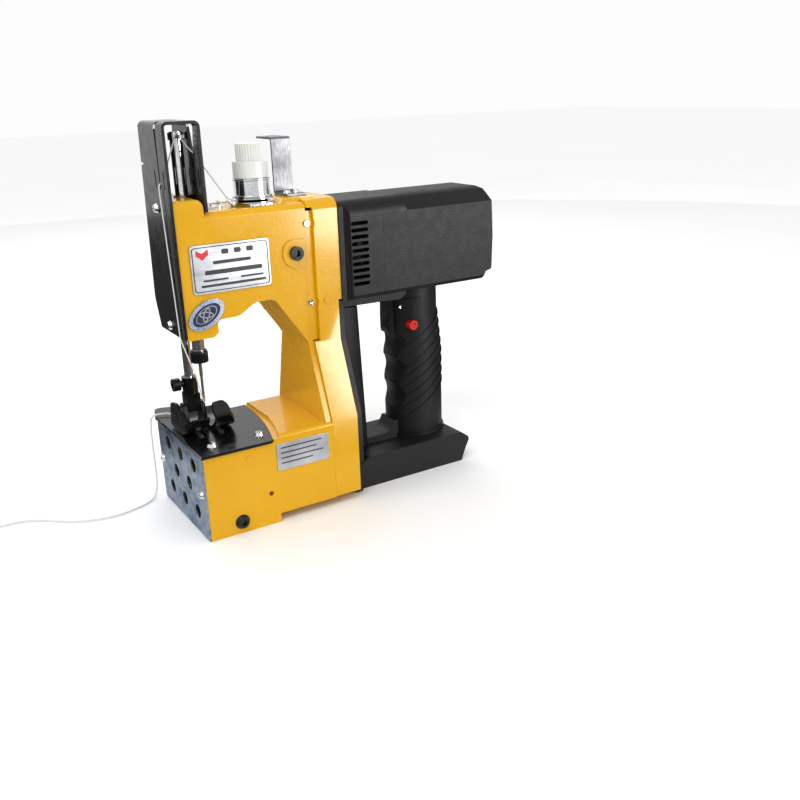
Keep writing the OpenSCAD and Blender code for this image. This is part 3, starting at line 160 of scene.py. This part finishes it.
class Finish:
    """A material with a Principled shader and short ways to add texture nodes to it."""

    def __init__(self, name, **sockets):
        self.material = bpy.data.materials.new(name)
        self.material.use_nodes = True
        self.tree = self.material.node_tree
        self.shader = self.tree.nodes["Principled BSDF"]
        for key, value in sockets.items():
            self.shader.inputs[key.replace("_", " ")].default_value = value
        self.coords = self.tree.nodes.new("ShaderNodeTexCoord").outputs["Object"]

    def stretched(self, scale):
        mapping = self.tree.nodes.new("ShaderNodeMapping")
        mapping.inputs["Scale"].default_value = scale
        self.tree.links.new(self.coords, mapping.inputs["Vector"])
        return mapping.outputs["Vector"]

    def noise(self, scale, detail=3.0, rough=0.5, vector=None):
        node = self.tree.nodes.new("ShaderNodeTexNoise")
        node.inputs["Scale"].default_value = scale
        node.inputs["Detail"].default_value = detail
        node.inputs["Roughness"].default_value = rough
        self.tree.links.new(vector or self.coords, node.inputs["Vector"])
        return node.outputs["Fac"]

    def cells(self, scale, vector=None):
        node = self.tree.nodes.new("ShaderNodeTexVoronoi")
        node.inputs["Scale"].default_value = scale
        self.tree.links.new(vector or self.coords, node.inputs["Vector"])
        return node.outputs["Distance"]

    def ramp(self, value, stops):
        node = self.tree.nodes.new("ShaderNodeValToRGB")
        points = node.color_ramp.elements
        while len(points) < len(stops):
            points.new(0.5)
        for point, (place, colour) in zip(points, stops):
            point.position = place
            point.color = (*colour, 1.0) if len(colour) == 3 else colour
        self.tree.links.new(value, node.inputs["Fac"])
        return node.outputs["Color"]

    def spread(self, value, low, high, start=0.3, end=0.7):
        """Maps a texture's value onto a range of numbers."""
        node = self.tree.nodes.new("ShaderNodeMapRange")
        node.inputs["From Min"].default_value = start
        node.inputs["From Max"].default_value = end
        node.inputs["To Min"].default_value = low
        node.inputs["To Max"].default_value = high
        self.tree.links.new(value, node.inputs["Value"])
        return node.outputs["Result"]

    def bump(self, height, strength, distance, normal=None):
        node = self.tree.nodes.new("ShaderNodeBump")
        node.inputs["Strength"].default_value = strength
        node.inputs["Distance"].default_value = distance
        self.tree.links.new(height, node.inputs["Height"])
        if normal is not None:
            self.tree.links.new(normal, node.inputs["Normal"])
        return node.outputs["Normal"]

    def put(self, socket, value):
        self.tree.links.new(value, self.shader.inputs[socket])
        return self


def enamel():
    """Glossy yellow paint over a casting, with orange peel."""
    f = Finish("yellow_enamel", Roughness=0.28, Specular_IOR_Level=0.25, Coat_Weight=0.5,
               Coat_Roughness=0.12)
    deep = (0.69, 0.375, 0.0003)
    pale = (0.78, 0.435, 0.0006)
    f.put("Base Color", f.ramp(f.noise(14.0, 4.0), [(0.25, deep), (0.75, pale)]))
    f.put("Roughness", f.spread(f.noise(60.0, 5.0), 0.20, 0.34))
    peel = f.bump(f.noise(420.0, 2.0), 0.22, 0.0004)
    f.put("Normal", f.bump(f.noise(60.0, 2.0), 0.16, 0.0012, peel))
    return f.material


def moulded(name, dark, light, rough, grain=1500.0, strength=0.35):
    """Moulded plastic or rubber with a fine grain."""
    f = Finish(name, Roughness=rough, Specular_IOR_Level=0.26)
    f.put("Base Color", f.ramp(f.noise(25.0, 5.0), [(0.3, dark), (0.7, light)]))
    f.put("Roughness", f.spread(f.noise(140.0, 4.0), rough - 0.03, rough + 0.05))
    fine = f.bump(f.noise(grain, 2.0, 0.7), strength, 0.0003)
    f.put("Normal", f.bump(f.cells(grain * 0.6), strength * 0.6, 0.0002, fine))
    return f.material


def print_ink(name, dark, light):
    """A thin printed or enamelled colour on a plate."""
    f = Finish(name, Roughness=0.35)
    f.put("Base Color", f.ramp(f.noise(700.0, 4.0), [(0.35, dark), (0.65, light)]))
    f.put("Roughness", f.spread(f.noise(900.0, 3.0), 0.28, 0.5))
    f.put("Normal", f.bump(f.noise(2500.0, 2.0), 0.1, 0.0001))
    return f.material


def black_gloss():
    """Glossy black paint on sheet steel and small castings."""
    f = Finish("black_gloss", Roughness=0.24, Specular_IOR_Level=0.4, Coat_Weight=0.25,
               Coat_Roughness=0.06)
    dark = (0.003, 0.0035, 0.0045)
    light = (0.008, 0.009, 0.012)
    f.put("Base Color", f.ramp(f.noise(30.0, 4.0), [(0.3, dark), (0.75, light)]))
    f.put("Roughness", f.spread(f.noise(150.0, 5.0), 0.16, 0.32))
    f.put("Normal", f.bump(f.noise(500.0, 2.0), 0.06, 0.0003))
    return f.material


def metal(name, dark, light, rough, streak=None, strength=0.08):
    """Metal with fine scratches; streak stretches them along one axis."""
    f = Finish(name, Metallic=1.0, Roughness=rough)
    f.put("Base Color", f.ramp(f.noise(70.0, 5.0), [(0.3, dark), (0.7, light)]))
    vector = f.stretched(streak) if streak else None
    lines = f.noise(900.0, 3.0, 0.6, vector)
    f.put("Roughness", f.spread(lines, max(0.03, rough - 0.05), rough + 0.08))
    f.put("Normal", f.bump(lines, strength, 0.00015))
    return f.material


def blued_steel():
    """Mottled steel sheet, from dark blue to grey."""
    f = Finish("blued_steel", Metallic=0.85, Roughness=0.38)
    blotches = f.noise(60.0, 7.0, 0.68, f.stretched((1.0, 0.8, 1.5)))
    stops = [(0.30, (0.030, 0.060, 0.130)), (0.42, (0.13, 0.19, 0.28)),
             (0.54, (0.28, 0.34, 0.41)), (0.74, (0.10, 0.15, 0.24))]
    f.put("Base Color", f.ramp(blotches, stops))
    f.put("Roughness", f.spread(f.noise(220.0, 5.0), 0.28, 0.52))
    f.put("Normal", f.bump(f.noise(350.0, 3.0), 0.12, 0.0003))
    return f.material


def nylon():
    """White nylon that lets a little light in."""
    f = Finish("white_nylon", Roughness=0.36, Subsurface_Weight=0.25, Subsurface_Scale=0.003)
    dark = (0.70, 0.72, 0.69)
    light = (0.80, 0.82, 0.79)
    f.put("Base Color", f.ramp(f.noise(60.0, 4.0), [(0.3, dark), (0.7, light)]))
    f.put("Roughness", f.spread(f.noise(200.0, 3.0), 0.30, 0.45))
    f.put("Normal", f.bump(f.noise(700.0, 2.0), 0.08, 0.0003))
    return f.material


def thread_finish():
    """White spun thread."""
    f = Finish("polyester_thread", Roughness=0.75, Sheen_Weight=0.3, Sheen_Roughness=0.4)
    dark = (0.72, 0.72, 0.70)
    light = (0.86, 0.86, 0.85)
    f.put("Base Color", f.ramp(f.noise(1800.0, 3.0), [(0.3, dark), (0.7, light)]))
    f.put("Normal", f.bump(f.noise(4200.0, 3.0, 0.7), 0.5, 0.0003))
    return f.material


FINISH = {
    "enamel": enamel(),
    "housing": moulded("charcoal_housing", (0.0095, 0.009, 0.009), (0.014, 0.013, 0.0125), 0.46),
    "print_dark": print_ink("dark_ink", (0.020, 0.020, 0.022), (0.045, 0.045, 0.048)),
    "print_red": print_ink("red_ink", (0.62, 0.012, 0.014), (0.76, 0.025, 0.025)),
    "badge_blue": print_ink("blue_enamel", (0.006, 0.012, 0.050), (0.015, 0.030, 0.110)),
    "badge_rim": metal("badge_rim_metal", (0.30, 0.38, 0.55), (0.60, 0.66, 0.76), 0.28),
    "black_plastic": moulded("black_moulding", (0.010, 0.010, 0.010), (0.018, 0.018, 0.019), 0.42),
    "red_plastic": moulded("red_moulding", (0.52, 0.012, 0.006), (0.66, 0.022, 0.012), 0.30,
                           1200.0, 0.08),
    "black": black_gloss(),
    "chrome": metal("chrome_plate", (0.60, 0.61, 0.63), (0.78, 0.79, 0.81), 0.10),
    "steel": metal("machined_steel", (0.40, 0.40, 0.41), (0.56, 0.56, 0.57), 0.30,
                   (1.0, 1.0, 12.0), 0.15),
    "brass": metal("sintered_bronze", (0.42, 0.27, 0.09), (0.60, 0.42, 0.17), 0.34),
    "satin": metal("satin_steel", (0.11, 0.11, 0.115), (0.24, 0.24, 0.25), 0.46,
                   (1.0, 1.0, 0.2), 0.2),
    "blued": blued_steel(),
    "nylon": nylon(),
    "belt": moulded("belt_rubber", (0.010, 0.010, 0.011), (0.020, 0.020, 0.021), 0.62),
    "thread": thread_finish(),
    "plate": metal("satin_plate", (0.36, 0.37, 0.39), (0.52, 0.53, 0.56), 0.34,
                   (0.04, 1.0, 2.0), 0.25),
}


# ---- cords ------------------------------------------------------------------------------
# Routes and sizes are in millimetres.

TAIL_ROUTE = [
    (-4, 30, 60), (-8, 38, 60), (-13, 43, 60), (-18, 45, 60), (-21.4, 46, 59.4),
    (-23, 46.6, 57.4), (-23.6, 47, 54), (-24, 47.4, 48), (-24, 47.8, 40), (-24, 48, 32),
    (-24, 48, 24), (-24.2, 47.6, 16), (-24.8, 46.6, 9), (-26.4, 44.6, 4), (-29, 41.6, 1.6),
    (-33, 38.4, 0.9), (-41, 34, 0.9), (-51, 31, 0.9), (-60, 30, 0.9), (-69, 31, 0.9),
    (-78, 34, 0.9), (-87, 39, 0.9), (-94, 45, 0.9), (-101, 51.4, 0.9), (-108, 56.4, 0.9),
    (-116, 59.4, 0.9), (-126, 60, 0.9), (-136, 60.4, 0.9)]
TAIL_PITCH = 3.4
TAIL_SWAY = 0.40
TAIL_LIFT = 0.24
TAIL_STRAND_RADIUS = 0.40

THREAD_TO_GUARD = [
    (32.1, -8.7, 204.65), (29.8, -7.8, 204.9), (26.2, -6.6, 206.4), (7.5, -9.9, 233.3)]
THREAD_TO_TAKE_UP = [
    (7.5, -9.9, 233.3), (5, -9.8, 236), (0.5, -9.3, 242.2), (0, -9, 243.2), (0, -9, 245.8)]
THREAD_FROM_TAKE_UP = [
    (0, -9, 245.8), (-1.2, -9.2, 246.5), (-3, -9.4, 246.2), (-12, -10.2, 224),
    (-14.6, -10.4, 219.4)]
THREAD_DOWN_GUARD = [
    (-14.6, -10.4, 219.4), (-16.6, -10.6, 218), (-16.8, -11.2, 214), (-16.7, -18.2, 128),
    (-16.2, -17.8, 125.6)]
THREAD_TO_NEEDLE = [
    (-16.2, -17.8, 125.6), (-6, -8, 98), (-1.2, -1.8, 80), (0, -1.25, 77.7)]
THREAD_RADIUS = 0.42


def resampled(points, step):
    """Evenly spaced points along straight runs between the given ones, in millimetres."""
    points = [Vector(p) for p in points]
    out = [points[0].copy()]
    left = step
    for a, b in zip(points, points[1:]):
        run = (b - a).length
        place = left
        while place < run:
            out.append(a.lerp(b, place / run))
            place += step
        left = place - run
    if (out[-1] - points[-1]).length > step * 0.3:
        out.append(points[-1].copy())
    return out


def frames_along(points):
    """A steady pair of sideways directions at each point of a path."""
    count = len(points)
    ahead = [(points[min(i + 1, count - 1)] - points[max(i - 1, 0)]).normalized()
             for i in range(count)]
    side = ahead[0].orthogonal().normalized()
    out = []
    for t in ahead:
        side = (side - t * side.dot(t)).normalized()
        out.append((side, t.cross(side)))
    return out


def swept(name, points, radius, sides=8):
    """A closed tube along points in millimetres."""
    built = bmesh.new()
    rings = []
    for point, (u, v) in zip(points, frames_along(points)):
        ring = []
        for k in range(sides):
            a = 2 * math.pi * k / sides
            ring.append(built.verts.new((point + radius * (math.cos(a) * u + math.sin(a) * v)) * MM))
        rings.append(ring)
    for low, high in zip(rings, rings[1:]):
        for k in range(sides):
            built.faces.new((low[k], low[(k + 1) % sides], high[(k + 1) % sides], high[k]))
    built.faces.new(list(reversed(rings[0])))
    built.faces.new(rings[-1])
    mesh = mesh_from_bmesh(name, built)
    smooth(mesh, 60.0)
    return mesh


def chain_strand(points, side):
    """One of the two crossing threads of a chain stitch, around a path with even points."""
    step = (points[1] - points[0]).length
    out = []
    for i, (point, (u, v)) in enumerate(zip(points, frames_along(points))):
        turn = 2 * math.pi * i * step / TAIL_PITCH
        ease = min(1.0, i * step / 2.0, (len(points) - 1 - i) * step / 2.0)
        offset = side * ease * (TAIL_SWAY * math.sin(turn) * u + TAIL_LIFT * math.cos(turn) * v)
        out.append(point + offset)
    return out


def add_tail():
    """The stitched thread chain that hangs from the presser foot and lies on the table."""
    points = resampled(TAIL_ROUTE, 0.45)
    built = bmesh.new()
    for side in (1, -1):
        part = swept("chain_part", chain_strand(points, side), TAIL_STRAND_RADIUS, sides=7)
        built.from_mesh(part)
        bpy.data.meshes.remove(part)
    mesh = mesh_from_bmesh("thread_tail_chain", built)
    smooth(mesh, 60.0)
    tail = add_piece("thread_tail_chain", mesh, "frame", FINISH["thread"], ("thread_tail",))


def add_strand(name, route, bodies):
    """A length of the upper thread: it rides on one body, or on none when it runs between two."""
    mesh = swept(name, resampled(route, 1.5), THREAD_RADIUS)
    rides_on = bodies[0] if len(bodies) == 1 else None
    strand = add_piece(name, mesh, rides_on, FINISH["thread"], ("upper_thread",))
    if len(bodies) == 2:
        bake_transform(strand)


def add_upper_thread():
    add_strand("thread_to_guard", THREAD_TO_GUARD, ("frame",))
    add_strand("thread_to_take_up", THREAD_TO_TAKE_UP, ("frame", "needle_set"))
    add_strand("thread_from_take_up", THREAD_FROM_TAKE_UP, ("needle_set", "frame"))
    add_strand("thread_down_guard", THREAD_DOWN_GUARD, ("frame",))
    add_strand("thread_to_needle", THREAD_TO_NEEDLE, ("frame", "needle_set"))


# ---- plates and prints --------------------------------------------------------------------
# Outlines are in x and z, in millimetres. A print stands a little proud of the plate behind it.

PLATE = (-7.0, 44.2, 153.3, 182.8)
PLATE_FRONT = -22.82
PLATE_BACK = -22.66
PLATE_BORDER = 1.2
PLATE_LINE = 0.55
# bars on the plate: foot of the bar, its height, and where each bar starts and ends
PLATE_BARS = [
    (176.2, 3.0, [(13.0, 17.4), (21.0, 25.4), (29.0, 33.4)]),
    (170.6, 2.0, [(7.0, 31.5)]),
    (164.6, 2.6, [(1.5, 38.5)]),
    (160.6, 1.1, [(0.0, 16.0), (24.0, 39.0)]),
    (157.2, 1.5, [(-1.5, 40.5)]),
]
PLATE_CHEVRON = [(-3.2, 180.0), (0.6, 177.6), (4.4, 180.0), (4.4, 176.6), (0.6, 173.8), (-3.2, 176.6)]

BADGE_CENTRE = (-0.4, 140.7)
BADGE_TILT = 30.0
BADGE_FIGURE_FRONT = -23.12
BADGE_FIGURE_BACK = -22.95

# lines on the side label: foot of the line, where it starts and where it ends
LABEL_BARS = [(51.0, 32.5, 62.0), (47.5, 32.5, 58.0), (44.0, 32.5, 63.0), (40.5, 32.5, 55.0)]
LABEL_LINE = 0.8
LABEL_FRONT = -42.5
LABEL_BACK = -42.38


def outline_slab(built, outline, front, back):
    """Adds a flat piece to built: an outline in x and z, between two places in y, in millimetres."""
    near = [built.verts.new(Vector((x, front, z)) * MM) for x, z in outline]
    far = [built.verts.new(Vector((x, back, z)) * MM) for x, z in outline]
    built.faces.new(near)
    built.faces.new(list(reversed(far)))
    for k in range(len(near)):
        j = (k + 1) % len(near)
        built.faces.new((near[k], far[k], far[j], near[j]))


def outline_ring(built, outer, inner, front, back):
    """Adds a flat ring to built, between two outlines with as many points each."""
    loops = []
    for outline, place in ((outer, front), (inner, front), (inner, back), (outer, back)):
        loops.append([built.verts.new(Vector((x, place, z)) * MM) for x, z in outline])
    count = len(outer)
    for a, b in zip(loops, loops[1:] + loops[:1]):
        for k in range(count):
            j = (k + 1) % count
            built.faces.new((a[k], a[j], b[j], b[k]))


def rounded_box(x0, x1, z0, z1, r, steps=5):
    """A rectangle with round corners, each an arc of a number of steps."""
    corners = [(x1 - r, z1 - r, 0), (x0 + r, z1 - r, 90), (x0 + r, z0 + r, 180),
               (x1 - r, z0 + r, 270)]
    out = []
    for x, z, turn in corners:
        for k in range(steps + 1):
            a = math.radians(turn + 90 * k / steps)
            out.append((x + r * math.cos(a), z + r * math.sin(a)))
    return out


def badge_oval(long_half, short_half, turn=0.0, steps=48):
    """An ellipse round the badge's centre; turn tilts it further than the badge, in degrees."""
    tilt = BADGE_TILT + turn
    c = math.cos(math.radians(tilt))
    s = math.sin(math.radians(tilt))
    out = []
    for k in range(steps):
        a = 2 * math.pi * k / steps
        u = long_half * math.cos(a)
        v = short_half * math.sin(a)
        out.append((BADGE_CENTRE[0] + u * c - v * s, BADGE_CENTRE[1] + u * s + v * c))
    return out


def add_print(name, built, finish):
    mesh = mesh_from_bmesh(name, built)
    smooth(mesh, 30.0)
    add_piece(name, mesh, "frame", FINISH[finish])


def inset_plate(by, r):
    """The arm plate's outline, drawn in by a distance."""
    x0, x1, z0, z1 = PLATE
    return rounded_box(x0 + by, x1 - by, z0 + by, z1 - by, r)


def add_name_plate_print():
    """A dark border, plain ruled bars and a red chevron on the arm's plate."""
    built = bmesh.new()
    outer = inset_plate(PLATE_BORDER, 2.0)
    inner = inset_plate(PLATE_BORDER + PLATE_LINE, 1.5)
    outline_ring(built, outer, inner, PLATE_FRONT, PLATE_BACK)
    for z, height, bars in PLATE_BARS:
        for x0, x1 in bars:
            bar = rounded_box(x0, x1, z, z + height, height * 0.3, 3)
            outline_slab(built, bar, PLATE_FRONT, PLATE_BACK)
    add_print("name_plate_print", built, "print_dark")
    built = bmesh.new()
    outline_slab(built, PLATE_CHEVRON, PLATE_FRONT, PLATE_BACK)
    add_print("name_plate_mark", built, "print_red")


def add_badge_faces():
    """A raised silver rim, a dark blue field and a plain light figure of ovals."""
    built = bmesh.new()
    outline_ring(built, badge_oval(12.7, 7.7), badge_oval(9.9, 5.5), -23.25, -22.85)
    add_print("badge_rim", built, "badge_rim")
    built = bmesh.new()
    outline_slab(built, badge_oval(10.0, 5.6), -22.98, -22.86)
    add_print("badge_field", built, "badge_blue")
    built = bmesh.new()
    for turn in (-38, 38):
        outer = badge_oval(4.6, 2.0, turn, 28)
        inner = badge_oval(4.0, 1.4, turn, 28)
        outline_ring(built, outer, inner, BADGE_FIGURE_FRONT, BADGE_FIGURE_BACK)
    outer = badge_oval(7.6, 4.1, 0.0, 36)
    inner = badge_oval(7.2, 3.75, 0.0, 36)
    outline_ring(built, outer, inner, BADGE_FIGURE_FRONT, BADGE_FIGURE_BACK)
    add_print("badge_figure", built, "plate")


def add_side_label_print():
    """Plain ruled lines on the label of the base."""
    built = bmesh.new()
    for z, x0, x1 in LABEL_BARS:
        outline_slab(built, rounded_box(x0, x1, z, z + LABEL_LINE, 0.2, 3), LABEL_FRONT, LABEL_BACK)
    add_print("side_label_print", built, "print_dark")


# ---- presser spring ---------------------------------------------------------------------


def add_presser_spring():
    """The spring above the presser bar's collar, as a steel copy of its CAD coil on the frame."""
    mesh = NODES["presser_spring"].data.copy()
    spring = add_piece("presser_spring_coil", mesh, "frame", FINISH["steel"],
                       ("presser_spring",))
    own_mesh(spring)


# ---- lights and floor -------------------------------------------------------------------
# Places and sizes are in metres, and powers in watts.

CENTRE = (0.08, 0.0, 0.12)
FLOOR_HALF = 6.0
CARD_INNER = (0.19, 0.17)
CARD_OUTER = (1.6, 1.6)
CARD_HEIGHT = 0.0006
CARD_STEPS = 48

def add_light(name, place, size, power, only_glossy=False):
    """A soft box aimed at the machine; the camera doesn't see it."""
    data = bpy.data.lights.new(name, "AREA")
    data.shape = "RECTANGLE"
    data.size = size[0]
    data.size_y = size[1]
    data.energy = power
    lamp = bpy.data.objects.new(name, data)
    bpy.context.scene.collection.objects.link(lamp)
    lamp.location = place
    lamp.visible_camera = False
    lamp.visible_diffuse = not only_glossy
    lamp.rotation_euler = (Vector(CENTRE) - Vector(place)).to_track_quat("-Z", "Y").to_euler()


def card_ring(built, half):
    """One edge of the studio card: an oval round the machine."""
    ring = []
    for k in range(CARD_STEPS):
        a = 2 * math.pi * k / CARD_STEPS
        place = (CENTRE[0] + half[0] * math.cos(a), half[1] * math.sin(a), CARD_HEIGHT)
        ring.append(built.verts.new(place))
    return ring


def add_reflector():
    """A studio card on the floor that only reflections see, so that dark parts stay dark."""
    built = bmesh.new()
    inner = card_ring(built, CARD_INNER)
    outer = card_ring(built, CARD_OUTER)
    for k in range(CARD_STEPS):
        j = (k + 1) % CARD_STEPS
        built.faces.new((inner[k], outer[k], outer[j], inner[j]))
    f = Finish("card_grey", Roughness=0.9)
    stops = [(0.3, (0.03, 0.03, 0.032)), (0.7, (0.06, 0.06, 0.063))]
    f.put("Base Color", f.ramp(f.noise(5.0, 2.0), stops))
    card = add_piece("studio_card", mesh_from_bmesh("studio_card", built), None, f.material)
    card.visible_camera = False
    card.visible_diffuse = False
    card.visible_shadow = False
    card.visible_transmission = False


def add_floor():
    built = bmesh.new()
    bmesh.ops.create_grid(built, x_segments=1, y_segments=1, size=FLOOR_HALF)
    f = Finish("floor_white", Roughness=0.8)
    stops = [(0.3, (0.955, 0.955, 0.955)), (0.7, (0.97, 0.97, 0.97))]
    f.put("Base Color", f.ramp(f.noise(3.0, 2.0), stops))
    add_piece("floor", mesh_from_bmesh("floor", built), None, f.material)


def add_world():
    world = bpy.data.worlds.new("studio")
    world.use_nodes = True
    background = world.node_tree.nodes["Background"]
    background.inputs["Color"].default_value = (1.0, 1.0, 1.0, 1.0)
    background.inputs["Strength"].default_value = 0.98
    bpy.context.scene.world = world
    bpy.context.scene.view_settings.view_transform = "Standard"
    bpy.context.scene.view_settings.gamma = 0.88


def add_stage():
    add_floor()
    add_reflector()
    add_world()
    add_light("key", (-0.45, -0.55, 1.15), (0.6, 0.6), 4.0)
    add_light("glare", (0.66, -0.84, 0.24), (0.36, 0.46), 11.0, only_glossy=True)
    add_light("back", (0.25, 1.0, 0.95), (0.9, 0.5), 3.0)


# ---- build ---------------------------------------------------------------------------------

# nodes whose edges are rounded: the finish, and the rounding's width in millimetres
SOFTENED = {
    "main_casting": ("enamel", 0.8), "arm_side_cover": ("enamel", 0.6), "belt_cover": ("enamel", 0.9),
    "front_housing": ("housing", 0.6), "rear_housing_near": ("housing", 0.7),
    "rear_housing_far": ("housing", 0.7), "rear_end_cap": ("black_plastic", 0.4),
    "spine_cover": ("housing", 0.8), "battery_foot": ("housing", 0.8), "grip_panel": ("housing", 0.3),
    "trigger": ("black_plastic", 0.6), "lock_button": ("red_plastic", 0.4),
    "take_up_guard": ("black", 0.5), "throat_plate": ("black", 0.4), "end_cover": ("blued", 0.3),
    "bottom_cover": ("steel", 0.3), "presser_foot": ("black", 0.4), "foot_clamp": ("black", 0.4),
    "needle_clamp": ("black", 0.3), "tension_post": ("chrome", 0.2), "tension_discs": ("chrome", 0.12),
    "tension_cup": ("chrome", 0.25), "tension_knob": ("nylon", 0.25), "thread_bracket": ("satin", 0.2),
    "thread_guide": ("chrome", 0.2), "name_plate": ("plate", 0.15), "lifter_lever": ("chrome", 0.4),
}

# nodes that keep their CAD mesh, by finish
PLAIN = {
    "steel": ["motor_can", "motor_rotor", "main_shaft", "reduction_gear", "upper_pulley",
              "lower_pulley", "crank_disc", "ball_bearing", "lower_shaft", "lower_cams", "feed_bar",
              "feed_dog", "drive_block", "connecting_rod", "presser_collar"],
    "chrome": ["needle_bar", "needle", "take_up_bar", "presser_bar", "looper", "small_screws"],
    "brass": ["battery_terminals", "motor_pinion", "shaft_bushes", "bar_bushes"],
    "black_plastic": ["trigger_switch", "cooling_fan"],
    "belt": ["timing_belt"],
    "black": ["socket_screws"],
    "plate": ["badge"],
}

add_camera()
add_tail()
add_upper_thread()
add_name_plate_print()
add_badge_faces()
add_side_label_print()
add_presser_spring()

for node, (finish, width) in SOFTENED.items():
    softened(node, FINISH[finish], width)
for finish, nodes in PLAIN.items():
    for node in nodes:
        NODES[node].data.materials.clear()
        NODES[node].data.materials.append(FINISH[finish])

add_stage()
